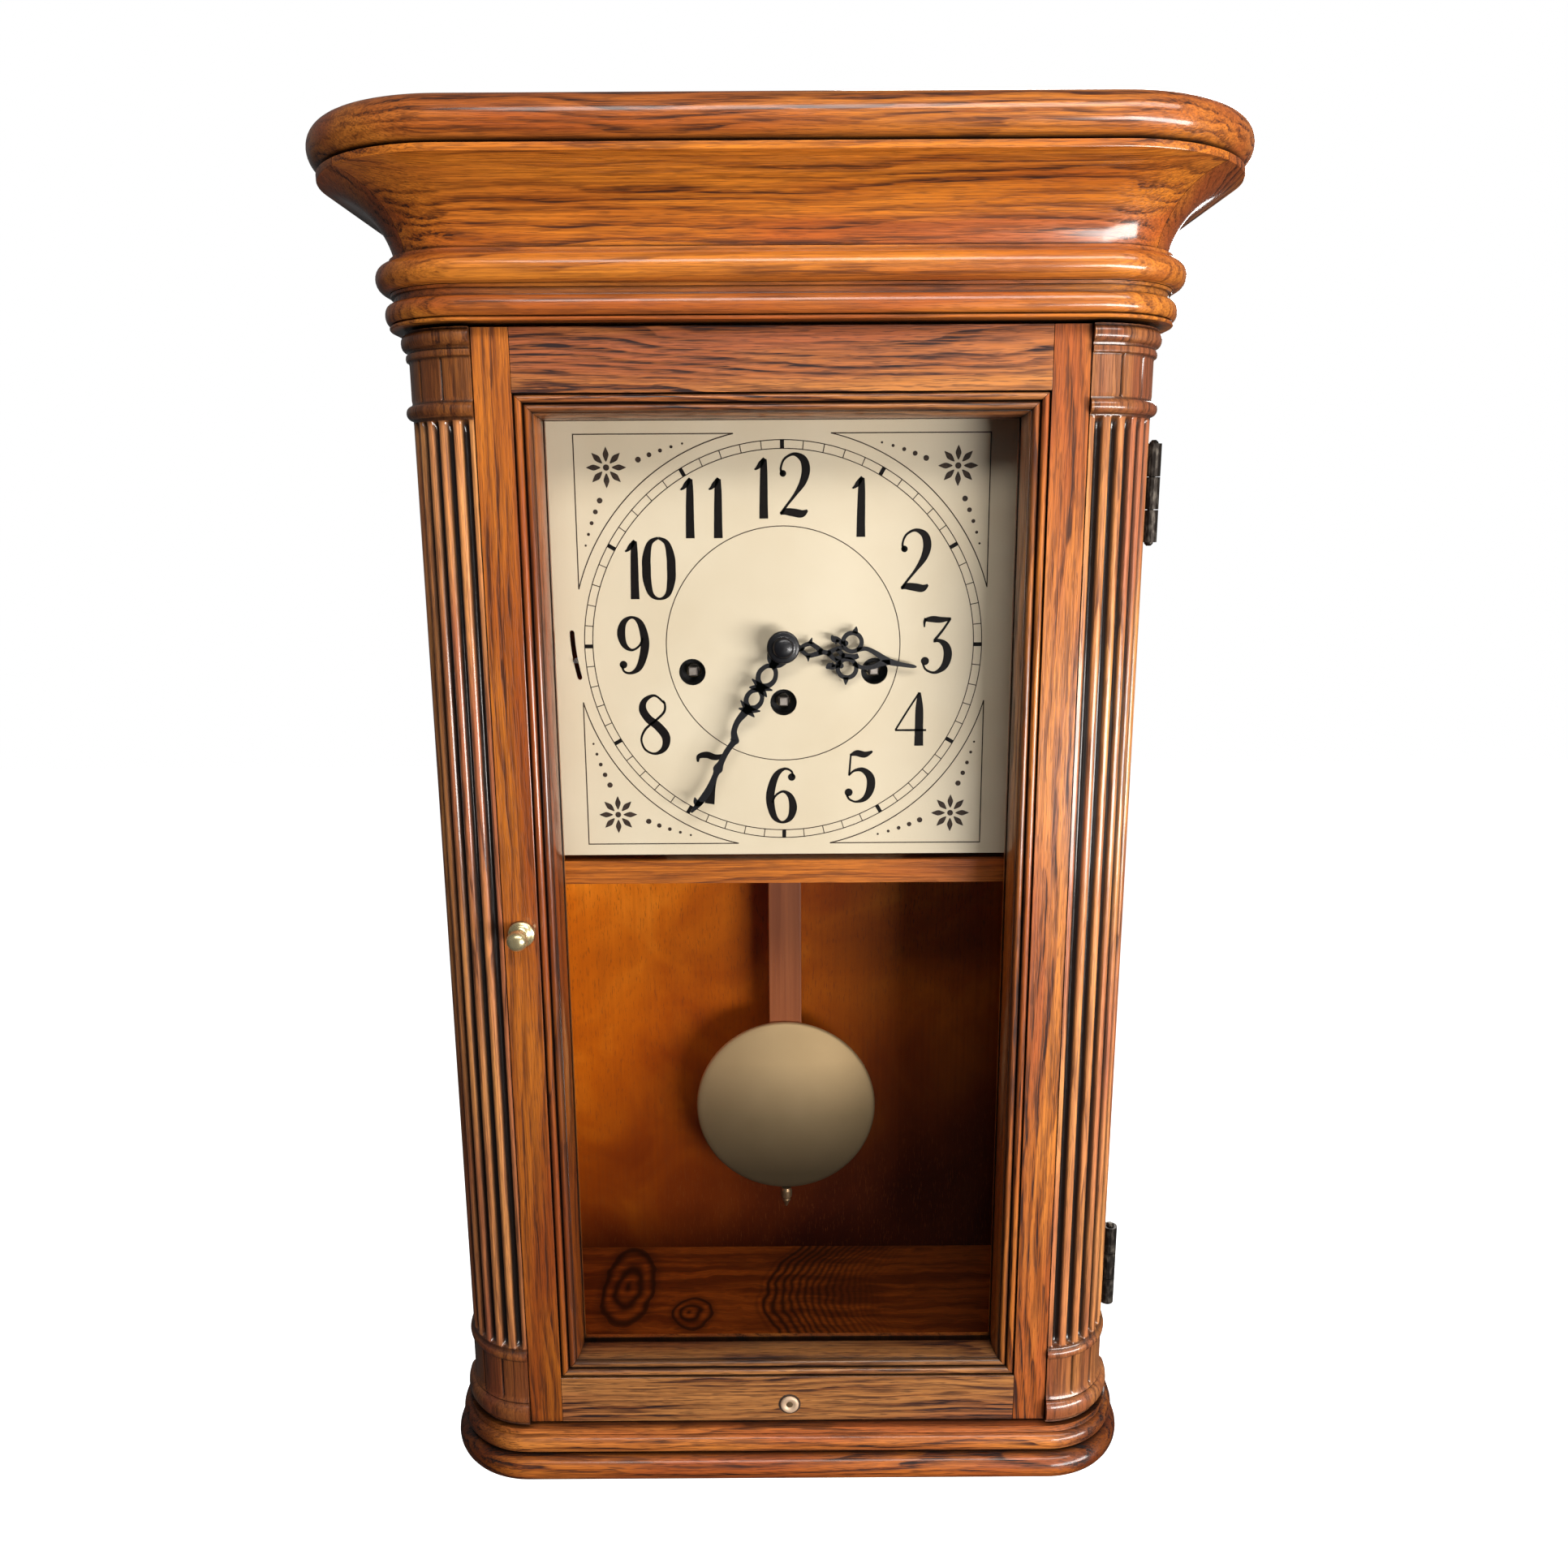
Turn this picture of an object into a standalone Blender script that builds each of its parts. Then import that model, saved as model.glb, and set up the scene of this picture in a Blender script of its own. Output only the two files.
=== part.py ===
"""Key-wound pendulum wall clock in an oak case, as separate pieces.

Sizes are in millimetres and are turned into metres when a mesh is made.
X runs to the right, Y into the wall and Z up. In the sizes, Y = 0 is the face of
the door and Z = 0 is the underside of the base. The part's origin is under the
middle of its bounding box, ORIGIN_Y behind the face of the door.
"""
import math

import bmesh
import bpy
from mathutils import Vector

MM = 0.001
FIT_GAP = 0.3

# Plan of the case: straight sides, front corners rounded about two fixed centres.
CORNER_X = 129.0
CORNER_Y = 32.0
CORNER_SEGMENTS = 8
CASE_BACK_Y = 136.0
BODY_RADIUS = 32.4
BODY_HALF_WIDTH = CORNER_X + BODY_RADIUS
CROWN_RADIUS = 67.6
ORIGIN_Y = (CASE_BACK_Y + CORNER_Y - CROWN_RADIUS) / 2

# Heights of the case.
BASE_SPLIT_Z = 13.8
BASE_TOP_Z = 27.5
FLOOR_TOP_Z = 41.0
CASE_TOP_Z = 547.4
CROWN_BEAD_Z = 561.8
COVE_BOTTOM_Z = 575.5
COVE_TOP_Z = 603.8
CROWN_BOARD_Z = 607.0
TOP_Z = 625.0

# Case boards.
SIDE_THICKNESS = 12.0
SIDE_FRONT_Y = 34.9
INNER_HALF_WIDTH = BODY_HALF_WIDTH - SIDE_THICKNESS - FIT_GAP
BACK_PANEL_Y = 130.0
BACK_PANEL_THICKNESS = 4.0
SEAT_TOP_Z = 307.2
SEAT_THICKNESS = 11.4
SEAT_BACK_Y = 98.0

# Door.
DOOR_BOTTOM_Z = 28.0
DOOR_TOP_Z = 546.0
DOOR_THICKNESS = 20.0
STILE_OUTER_X = 128.0
STILE_INNER_X = 112.4
MOULDING = 10.0
BOTTOM_RAIL_TOP_Z = 52.5
TOP_RAIL_BOTTOM_Z = 520.0
SIGHT_X = STILE_INNER_X - MOULDING
SIGHT_BOTTOM_Z = BOTTOM_RAIL_TOP_Z + MOULDING
SIGHT_TOP_Z = TOP_RAIL_BOTTOM_Z - MOULDING
RABBET_Y = 14.0
RABBET = 5.0
GLASS_THICKNESS = 3.0
REEDS = 7
REED_PITCH_DEG = 13.0
REED_DEPTH = 2.4
REED_CREST = 0.42

# Hinges on the right, in the seam between the right column and the side panel.
HINGE_X = 165.5
HINGE_Y = 33.45
HINGE_LENGTH = 43.0
HINGE_BOTTOMS = {"upper": 457.0, "lower": 71.0}

# Dial and movement, about the centre arbor.
DIAL_Y = 39.0
DIAL_THICKNESS = 1.2
CENTRE_Z = 410.8
WINDING_HOLE_RADIUS = 6.25
WINDING_POINTS = {"chime": (42.5, 398.5), "time": (0.0, 384.0), "strike": (-42.5, 398.5)}
LEVER_CENTRE = (-0.5, 419.7)
LEVER_RADIUS = 97.5
FRONT_PLATE_Y = 50.0
BACK_PLATE_Y = 90.0
PLATE_THICKNESS = 2.0
PLATE_HALF_WIDTH = 62.5
PLATE_BOTTOM_Z = 340.0
PLATE_TOP_Z = 470.0
MINUTE_HAND_LENGTH = 89.0
MINUTE_HAND_DEG = 209.6
HOUR_HAND_LENGTH = 62.5
HOUR_HAND_DEG = 99.3
THIRD_ARBOR = (-16.0, 428.0)
ESCAPE_ARBOR = (0.0, 434.0)
MINUTE_WHEEL_ARBOR = (0.0, 427.1)

# Pendulum.
PIVOT_Z = 456.0
PENDULUM_Y = 108.0
BOB_RADIUS = 50.0
BOB_Z = 146.0
NUT_Y = 104.0

TAU = 2 * math.pi


# ---------------------------------------------------------------- materials

def principled(name, colour, roughness, metallic=0.0, alpha=1.0):
    """A Principled BSDF material with one colour and finish."""
    material = bpy.data.materials.new(name)
    material.use_nodes = True
    shader = material.node_tree.nodes["Principled BSDF"]
    shader.inputs["Base Color"].default_value = (*colour, 1.0)
    shader.inputs["Roughness"].default_value = roughness
    shader.inputs["Metallic"].default_value = metallic
    shader.inputs["Alpha"].default_value = alpha
    material.diffuse_color = (*colour, alpha)
    return material


def make_materials():
    """One material for each finish on the clock."""
    return {
        "oak": principled("oak", (0.42, 0.17, 0.045), 0.35),
        "birch_ply": principled("birch_ply", (0.45, 0.19, 0.04), 0.45),
        "floor_pine": principled("floor_pine", (0.17, 0.05, 0.02), 0.4),
        "bare_wood": principled("bare_wood", (0.5, 0.33, 0.18), 0.7),
        "dial_ivory": principled("dial_ivory", (0.79, 0.72, 0.55), 0.5),
        "black_metal": principled("black_metal", (0.01, 0.01, 0.012), 0.35, 0.3),
        "polished_brass": principled("polished_brass", (0.85, 0.62, 0.28), 0.18, 1.0),
        "satin_brass": principled("satin_brass", (0.62, 0.5, 0.3), 0.4, 1.0),
        "antique_hinge": principled("antique_hinge", (0.06, 0.045, 0.035), 0.45, 0.8),
        "steel": principled("steel", (0.45, 0.45, 0.46), 0.3, 1.0),
        "glass": principled("glass", (0.95, 0.97, 0.96), 0.02, 0.0, 0.15),
        "stick_wood": principled("stick_wood", (0.3, 0.12, 0.06), 0.5),
    }


# ---------------------------------------------------------------- mesh helpers

def clear_scene():
    """Remove every object so that the model starts from nothing."""
    for item in list(bpy.data.objects):
        bpy.data.objects.remove(item, do_unlink=True)


def metres(point):
    """World position in metres of a point given in the design's millimetres."""
    return Vector((point[0], point[1] - ORIGIN_Y, point[2])) * MM


def joint_empty(name, pivot):
    """An empty on a joint's axis, the parent of the pieces that move together."""
    empty = bpy.data.objects.new(name, None)
    empty.empty_display_size = 0.02
    empty.location = metres(pivot)
    bpy.context.collection.objects.link(empty)
    return empty


def add_object(name, mesh_data, material, parent=None, sharp_deg=None):
    """Link an object whose mesh was built in design millimetres."""
    origin = parent.location.copy() if parent else Vector((0.0, 0.0, 0.0))
    for vert in mesh_data.verts:
        vert.co = metres(vert.co) - origin
    bmesh.ops.recalc_face_normals(mesh_data, faces=mesh_data.faces)
    mesh = bpy.data.meshes.new(name)
    mesh_data.to_mesh(mesh)
    mesh_data.free()
    if material:
        mesh.materials.append(material)
    if sharp_deg:
        mesh.shade_smooth()
        mesh.set_sharp_from_angle(angle=math.radians(sharp_deg))
    item = bpy.data.objects.new(name, mesh)
    bpy.context.collection.objects.link(item)
    item.parent = parent
    return item


def ring_solid(rings, closed=False):
    """A solid through rings of equal length: capped at both ends, or closed on itself."""
    solid = bmesh.new()
    loops = []
    for ring in rings:
        loops.append([solid.verts.new(point) for point in ring])
    count = len(loops[0])
    pairs = list(zip(loops, loops[1:]))
    if closed:
        pairs.append((loops[-1], loops[0]))
    for lower, upper in pairs:
        for i in range(count):
            j = (i + 1) % count
            solid.faces.new((lower[i], lower[j], upper[j], upper[i]))
    if not closed:
        solid.faces.new(list(reversed(loops[0])))
        solid.faces.new(loops[-1])
    return solid


def add_union(target, name, mesh_data, parent=None):
    """Join a second shape to an object with a Boolean union."""
    add_boolean(target, name, mesh_data, "UNION", parent)


def add_cut(target, name, mesh_data, parent=None):
    """Cut a shape out of an object with a Boolean difference."""
    add_boolean(target, name, mesh_data, "DIFFERENCE", parent)


def add_boolean(target, name, mesh_data, operation, parent):
    """Give an object an exact Boolean with a hidden guide object."""
    guide = add_object(name, mesh_data, None, parent)
    guide.hide_render = True
    guide.display_type = "WIRE"
    modifier = target.modifiers.new(name, "BOOLEAN")
    modifier.operation = operation
    modifier.solver = "EXACT"
    modifier.object = guide


def box_mesh(x_span, y_span, z_span):
    """A rectangular block."""
    corners = [
        (x_span[0], y_span[0]),
        (x_span[1], y_span[0]),
        (x_span[1], y_span[1]),
        (x_span[0], y_span[1]),
    ]
    return ring_solid([[(x, y, z) for x, y in corners] for z in z_span])


def flat_mesh(outline, y_span):
    """A plate in the plane of the dial: an outline of (x, z) points with a thickness in y."""
    return ring_solid([[(x, y, z) for x, z in outline] for y in y_span])


def circle(centre, radius, segments):
    """Points of a circle about (x, z)."""
    points = []
    for i in range(segments):
        angle = TAU * i / segments
        points.append((centre[0] + radius * math.cos(angle), centre[1] + radius * math.sin(angle)))
    return points


def turned(centre, profile, segments=16, closed=False):
    """A turned shape about a line along Y through (x, z); the profile lists (radius, y)."""
    rings = []
    for radius, y in profile:
        rings.append([(x, y, z) for x, z in circle(centre, radius, segments)])
    return ring_solid(rings, closed)


def turned_upright(centre, profile, segments=16):
    """A turned shape about a vertical line through (x, y); the profile lists (radius, z)."""
    rings = []
    for radius, z in profile:
        rings.append([(x, y, z) for x, y in circle(centre, radius, segments)])
    return ring_solid(rings)


def half_round(radius, middle_z, half_height, depth, segments):
    """Levels (radius, z) of a rounded edge that bulges out to the given radius."""
    levels = []
    for i in range(segments + 1):
        angle = -math.pi / 2 + math.pi * i / segments
        bulge = depth * (1 - math.cos(angle))
        levels.append((radius - bulge, middle_z + half_height * math.sin(angle)))
    return levels


# ---------------------------------------------------------------- case

def plan_outline(radius):
    """The rounded plan of the case at one corner radius, seen from above."""
    points = []
    for centre_x, start in ((-CORNER_X, math.pi), (CORNER_X, 1.5 * math.pi)):
        for i in range(CORNER_SEGMENTS + 1):
            angle = start + 0.5 * math.pi * i / CORNER_SEGMENTS
            points.append((centre_x + radius * math.cos(angle), CORNER_Y + radius * math.sin(angle)))
    points.append((CORNER_X + radius, CASE_BACK_Y))
    points.append((-CORNER_X - radius, CASE_BACK_Y))
    return points


def moulded_board(name, levels, material):
    """A full-width board whose front and side edges follow the levels (radius, z)."""
    rings = [[(x, y, z) for x, y in plan_outline(radius)] for radius, z in levels]
    return add_object(name, ring_solid(rings), material, sharp_deg=50)


def make_base(oak):
    """Two stacked base boards: a rounded one below and a beaded one above."""
    lower = half_round(42.6, 6.75, 6.75, 6.75, 6)
    moulded_board("base_lower_board", lower, oak)
    upper = [(36.0, BASE_SPLIT_Z)]
    upper += half_round(39.6, 19.4, 4.6, 3.6, 4)
    upper += [(36.2, 24.6), (36.2, BASE_TOP_Z)]
    moulded_board("base_upper_board", upper, oak)


def cove_section():
    """Levels (radius, z) of a cove moulding: its inner face, then the hollow outer face."""
    hollow_radius = 36.2
    hollow_centre = (71.4, 568.4)
    lip = CROWN_BOARD_Z - FIT_GAP
    section = [(20.0, lip), (20.0, COVE_BOTTOM_Z)]
    steps = 6
    for i in range(steps + 1):
        z = COVE_BOTTOM_Z + (COVE_TOP_Z - COVE_BOTTOM_Z) * i / steps
        reach = math.sqrt(hollow_radius ** 2 - (z - hollow_centre[1]) ** 2)
        section.append((hollow_centre[0] - reach, z))
    section.append((64.6, COVE_TOP_Z))
    section.append((64.6, lip))
    return section


def cove_station(side, angle, shift=(0.0, 0.0)):
    """The cove's section across its run, at an angle round one corner, moved by shift."""
    ring = []
    for radius, z in cove_section():
        x = side * (CORNER_X + radius * math.sin(angle)) + shift[0]
        y = CORNER_Y - radius * math.cos(angle) + shift[1]
        ring.append((x, y, z))
    return ring


def make_cove(oak):
    """Three cove mouldings, mitred half-way round each corner."""
    half = FIT_GAP / 2 * math.sqrt(0.5)
    quarter_steps = [math.pi / 4 * i / 4 for i in range(5)]
    front = []
    for angle in reversed(quarter_steps):
        shift = (half, -half) if angle == quarter_steps[-1] else (0.0, 0.0)
        front.append(cove_station(-1, angle, shift))
    for angle in quarter_steps:
        shift = (-half, -half) if angle == quarter_steps[-1] else (0.0, 0.0)
        front.append(cove_station(1, angle, shift))
    add_object("crown_cove_front", ring_solid(front), oak, sharp_deg=50)
    for side, name in ((-1, "crown_cove_left"), (1, "crown_cove_right")):
        run = []
        for step in quarter_steps:
            shift = (side * half, half) if step == 0 else (0.0, 0.0)
            run.append(cove_station(side, math.pi / 4 + step, shift))
        run.append([(x, CASE_BACK_Y, z) for x, _, z in run[-1]])
        add_object(name, ring_solid(run), oak, sharp_deg=50)


def make_crown(oak):
    """The boards above the door: case top, bead, cove and the rounded top board."""
    case_top = [(37.6, CASE_TOP_Z), (38.6, 549.2)]
    case_top += half_round(41.2, 553.3, 4.0, 2.4, 4)
    case_top += [(38.4, 557.6), (38.4, CROWN_BEAD_Z - FIT_GAP)]
    moulded_board("case_top_board", case_top, oak)
    bead = [(39.0, CROWN_BEAD_Z)]
    bead += half_round(44.2, 567.6, 5.6, 5.0, 6)
    bead += [(38.2, 573.6), (38.2, COVE_BOTTOM_Z - FIT_GAP)]
    moulded_board("crown_bead_board", bead, oak)
    make_cove(oak)
    middle = (CROWN_BOARD_Z + TOP_Z) / 2
    half = (TOP_Z - CROWN_BOARD_Z) / 2
    moulded_board("crown_top_board", half_round(CROWN_RADIUS, middle, half, half, 8), oak)


def keyhole_outline(head_radius, slot_half_width, slot_top):
    """A keyhole outline in (x, z) about the head's centre: a round head with a slot above."""
    start = math.asin(slot_half_width / head_radius)
    points = []
    for i in range(17):
        angle = math.pi / 2 + start + (TAU - 2 * start) * i / 16
        points.append((head_radius * math.cos(angle), head_radius * math.sin(angle)))
    points += [(slot_half_width, slot_top), (-slot_half_width, slot_top)]
    return points


def make_case_boards(mats):
    """Side panels, floor, back panel, seat board, dial cleats and hanger plate."""
    bottom = BASE_TOP_Z + FIT_GAP
    side_top = CASE_TOP_Z - FIT_GAP
    for side, name in ((-1, "left"), (1, "right")):
        x_span = sorted((side * BODY_HALF_WIDTH, side * (BODY_HALF_WIDTH - SIDE_THICKNESS)))
        panel = box_mesh(x_span, (SIDE_FRONT_Y, CASE_BACK_Y), (bottom, side_top))
        add_object("side_panel_" + name, panel, mats["oak"])
        x_span = sorted((side * 112.0, side * INNER_HALF_WIDTH))
        cleat = box_mesh(x_span, (DIAL_Y + DIAL_THICKNESS + FIT_GAP, 54.0), (SEAT_TOP_Z + FIT_GAP, 530.0))
        add_object("dial_cleat_" + name, cleat, mats["bare_wood"])
    across = (-INNER_HALF_WIDTH, INNER_HALF_WIDTH)
    floor = box_mesh(across, (SIDE_FRONT_Y, BACK_PANEL_Y - FIT_GAP), (bottom, FLOOR_TOP_Z))
    add_object("bottom_board", floor, mats["floor_pine"])
    panel_back = BACK_PANEL_Y + BACK_PANEL_THICKNESS
    back = add_object("back_panel", box_mesh(across, (BACK_PANEL_Y, panel_back), (bottom, side_top)),
                      mats["birch_ply"])
    seat = box_mesh(across, (DIAL_Y + FIT_GAP, SEAT_BACK_Y), (SEAT_TOP_Z - SEAT_THICKNESS, SEAT_TOP_Z))
    add_object("seat_board", seat, mats["oak"])
    plate_span = (panel_back + FIT_GAP, CASE_BACK_Y - 0.2)
    hanger = add_object("hanger_plate", box_mesh((-30.0, 30.0), plate_span, (500.0, 534.0)), mats["steel"])
    hole_z = 510.0
    keyhole = [(x, hole_z + z) for x, z in keyhole_outline(5.0, 2.2, 14.0)]
    add_cut(hanger, "cut_hanger_keyhole", flat_mesh(keyhole, (132.0, 140.0)))
    wide_keyhole = [(x, hole_z + z) for x, z in keyhole_outline(8.0, 5.0, 18.0)]
    add_cut(back, "cut_back_keyhole", flat_mesh(wide_keyhole, (126.0, 134.15)))


def make_catch(mats, door):
    """A magnet on the left side panel and the strike that it holds, on the left column."""
    magnet = box_mesh((-INNER_HALF_WIDTH, -139.0), (33.8, 46.0), (270.0, 292.0))
    add_object("catch_magnet", magnet, mats["steel"])
    strike = box_mesh((-147.0, -139.0), (CORNER_Y + FIT_GAP, 33.3), (272.0, 290.0))
    add_object("catch_strike", strike, mats["steel"], door)


# ---------------------------------------------------------------- door

def frame_section():
    """The moulded edge of a door bar as (distance from the sight edge, depth), front to back."""
    return [
        (MOULDING, 0.0),
        (9.2, 2.6),
        (7.6, 2.9),
        (5.6, 3.6),
        (3.4, 6.4),
        (2.4, 10.0),
        (0.0, 11.4),
        (0.0, RABBET_Y),
        (RABBET, RABBET_Y),
        (RABBET, DOOR_THICKNESS),
        (MOULDING, DOOR_THICKNESS),
    ]


def door_bar(flat_width, flat_ends, sight_ends, to_point):
    """A door bar with a moulded inner edge that is mitred at both ends.

    flat_ends are where the flat part stops along the bar, and sight_ends where the
    sight edge stops; to_point maps (across, depth, along) to a point of the door.
    """
    bar = bmesh.new()
    section = frame_section()
    rings = []
    for end, outward in ((0, -1), (1, 1)):
        mitre = [(u, v, sight_ends[end] + outward * u) for u, v in section]
        flat_u = MOULDING + flat_width
        flat = [
            (MOULDING, DOOR_THICKNESS, flat_ends[end]),
            (flat_u, DOOR_THICKNESS, flat_ends[end]),
            (flat_u, 0.0, flat_ends[end]),
            (MOULDING, 0.0, flat_ends[end]),
        ]
        mitre_verts = [bar.verts.new(to_point(*point)) for point in mitre]
        if abs(mitre[0][2] - flat_ends[end]) < 1e-6:
            inner_back = mitre_verts[-1]
            inner_front = mitre_verts[0]
        else:
            inner_back = bar.verts.new(to_point(*flat[0]))
            inner_front = bar.verts.new(to_point(*flat[3]))
            bar.faces.new((mitre_verts[0], mitre_verts[-1], inner_back, inner_front))
        outer_back = bar.verts.new(to_point(*flat[1]))
        outer_front = bar.verts.new(to_point(*flat[2]))
        bar.faces.new(mitre_verts)
        bar.faces.new((inner_back, outer_back, outer_front, inner_front))
        rings.append((mitre_verts, inner_back, outer_back, outer_front, inner_front))
    start, stop = rings
    for i in range(len(section) - 1):
        bar.faces.new((start[0][i], start[0][i + 1], stop[0][i + 1], stop[0][i]))
    back = [start[0][-1], start[1], start[2], stop[2], stop[1], stop[0][-1]]
    front = [start[0][0], start[4], start[3], stop[3], stop[4], stop[0][0]]
    for corners in (back, front):
        bar.faces.new(list(dict.fromkeys(corners)))
    bar.faces.new((start[2], start[3], stop[3], stop[2]))
    return bar


def make_door_frame(oak, door):
    """Two stiles that run the full height, with the rails mitred between their mouldings."""
    stile_width = STILE_OUTER_X - STILE_INNER_X
    for side, name in ((-1, "left"), (1, "right")):
        stile = door_bar(
            stile_width,
            (DOOR_BOTTOM_Z, DOOR_TOP_Z),
            (SIGHT_BOTTOM_Z, SIGHT_TOP_Z),
            lambda u, v, w, s=side: (s * (SIGHT_X + u), v, w),
        )
        add_object("door_stile_" + name, stile, oak, door)
    ends = (-STILE_INNER_X + FIT_GAP, STILE_INNER_X - FIT_GAP)
    sight = (ends[0] + MOULDING, ends[1] - MOULDING)
    rails = (
        ("bottom", -1, SIGHT_BOTTOM_Z, BOTTOM_RAIL_TOP_Z - DOOR_BOTTOM_Z),
        ("top", 1, SIGHT_TOP_Z, DOOR_TOP_Z - TOP_RAIL_BOTTOM_Z),
    )
    for name, sense, sight_z, width in rails:
        rail = door_bar(
            width, ends, sight,
            lambda u, v, w, s=sense, z=sight_z: (w, v, z + s * u),
        )
        add_object("door_rail_" + name, rail, oak, door)


def column_ring(side, radius, z, reed_depth=0.0):
    """A quarter-round outline about the corner centre, with reeds cut to reed_depth."""
    per_reed = 4
    steps = (REEDS + 1) * per_reed
    points = [(CORNER_X - 0.7, CORNER_Y), (CORNER_X - 0.7, CORNER_Y - radius)]
    first_groove = 45.0 - REED_PITCH_DEG * (REEDS - 1) / 2
    for i in range(steps + 1):
        degrees = 90.0 * i / steps
        turn = (degrees - first_groove) / REED_PITCH_DEG
        from_groove = abs(turn - round(turn))
        depth = reed_depth * max(0.0, 1.0 - (from_groove / REED_CREST) ** 0.7)
        angle = math.radians(degrees)
        reach = radius - depth
        points.append((CORNER_X + reach * math.sin(angle), CORNER_Y - reach * math.cos(angle)))
    ring = [(side * x, y, z) for x, y in points]
    return ring if side > 0 else list(reversed(ring))


def column_levels():
    """The column's turned profile from its foot up: (radius, z, reed depth)."""
    levels = [(34.0, DOOR_BOTTOM_Z, 0.0)]
    levels += [(radius, z, 0.0) for radius, z in half_round(36.4, 34.2, 5.4, 3.0, 3)]
    levels += [
        (34.2, 41.0, 0.0),
        (32.8, 50.0, 0.0),
        (32.8, 64.0, 0.0),
        (33.6, 66.4, 0.0),
        (32.4, 69.0, 0.0),
        (32.4, 71.0, REED_DEPTH),
        (32.4, 507.0, REED_DEPTH),
        (32.4, 510.0, 0.0),
    ]
    levels += [(radius, z, 0.0) for radius, z in half_round(35.2, 513.6, 2.9, 2.0, 3)]
    levels += [
        (32.6, 518.0, 0.0),
        (32.6, 533.0, 0.0),
        (33.8, 536.6, 0.0),
    ]
    levels += [(radius, z, 0.0) for radius, z in half_round(35.6, 542.0, 3.4, 1.6, 3)]
    levels.append((34.2, DOOR_TOP_Z, 0.0))
    return levels


def make_columns(oak, door):
    """The two quarter columns that form the door's outer corners, each turned in one piece."""
    for side, name in ((-1, "left"), (1, "right")):
        rings = [column_ring(side, radius, z, depth) for radius, z, depth in column_levels()]
        add_object("column_" + name, ring_solid(rings), oak, door, sharp_deg=40)


def make_glazing(mats, door):
    """The glass pane in its rabbet, held from behind by a retainer frame."""
    play = 0.4
    half = SIGHT_X + RABBET - play
    low = SIGHT_BOTTOM_Z - RABBET + play
    high = SIGHT_TOP_Z + RABBET - play
    front = RABBET_Y + FIT_GAP
    back = front + GLASS_THICKNESS
    pane = box_mesh((-half, half), (front, back), (low, high))
    add_object("glass_pane", pane, mats["glass"], door)
    width = RABBET - play
    outer = [(-half, low), (half, low), (half, high), (-half, high)]
    inner = [(math.copysign(abs(x) - width, x), z + (width if z == low else -width)) for x, z in outer]
    y_near = back + FIT_GAP
    rings = [
        [(x, y_near, z) for x, z in outer],
        [(x, DOOR_THICKNESS, z) for x, z in outer],
        [(x, DOOR_THICKNESS, z) for x, z in inner],
        [(x, y_near, z) for x, z in inner],
    ]
    add_object("glass_retainer", ring_solid(rings, closed=True), mats["oak"], door)


def make_door_fittings(mats, door):
    """The turned knob on the left stile and the small rosette in the bottom rail."""
    brass = mats["polished_brass"]
    knob = [(6.0, -0.3), (6.0, -1.1), (4.6, -1.9), (2.9, -3.0), (2.4, -4.6), (3.0, -6.2), (4.3, -7.6),
            (4.7, -9.4), (4.3, -11.4), (2.9, -12.8), (1.0, -13.3)]
    add_object("door_knob", turned((-120.0, 284.0), knob, 16), brass, door, sharp_deg=45)
    rosette = [(4.65, -0.3), (4.65, -0.7), (3.9, -1.3), (2.9, -1.3), (2.2, -0.9), (0.8, -0.8)]
    add_object("rail_rosette", turned((1.0, 37.3), rosette, 16), brass, door, sharp_deg=45)


def hinge_knuckle(z_span, radius=3.5):
    """A hinge barrel with a hole for the pin."""
    bore = 1.7
    outer = circle((HINGE_X, HINGE_Y), radius, 16)
    inner = circle((HINGE_X, HINGE_Y), bore, 16)
    rings = [
        [(x, y, z_span[0]) for x, y in inner],
        [(x, y, z_span[0]) for x, y in outer],
        [(x, y, z_span[1]) for x, y in outer],
        [(x, y, z_span[1]) for x, y in inner],
    ]
    return ring_solid(rings, closed=True)


def make_hinges(metal, door):
    """Two butt hinges: a door leaf with the middle knuckle, a case leaf with the outer ones and the pin."""
    third = HINGE_LENGTH / 3
    for place, low in HINGE_BOTTOMS.items():
        high = low + HINGE_LENGTH
        middle = (low + third + FIT_GAP / 2, low + 2 * third - FIT_GAP / 2)
        leaf = box_mesh((150.5, 161.5), (CORNER_Y + FIT_GAP, 33.3), (low, high))
        leaf = add_object("hinge_door_leaf_" + place, leaf, metal, door, sharp_deg=35)
        bridge = box_mesh((160.0, 163.2), (CORNER_Y + FIT_GAP, 33.3), middle)
        add_union(leaf, "join_door_bridge_" + place, bridge, door)
        add_union(leaf, "join_door_knuckle_" + place, hinge_knuckle(middle), door)
        leaf = box_mesh((150.5, 161.5), (33.6, SIDE_FRONT_Y - FIT_GAP), (low, high))
        leaf = add_object("hinge_case_leaf_" + place, leaf, metal, sharp_deg=35)
        for end, span in (("low", (low, low + third - FIT_GAP / 2)), ("high", (high - third + FIT_GAP / 2, high))):
            bridge = box_mesh((160.0, 163.2), (33.6, SIDE_FRONT_Y - FIT_GAP), span)
            add_union(leaf, "join_case_bridge_%s_%s" % (place, end), bridge)
            add_union(leaf, "join_case_knuckle_%s_%s" % (place, end), hinge_knuckle(span))
        pin = [(1.0, low - 1.6), (2.0, low - 0.6), (2.0, low + 0.4), (1.4, low + 0.4)]
        pin += [(1.4, high - 0.4), (2.0, high - 0.4), (2.0, high + 0.6), (1.0, high + 1.6)]
        shape = turned_upright((HINGE_X, HINGE_Y), pin, 12)
        add_union(leaf, "join_pin_" + place, shape)


# ---------------------------------------------------------------- dial and hands

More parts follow.
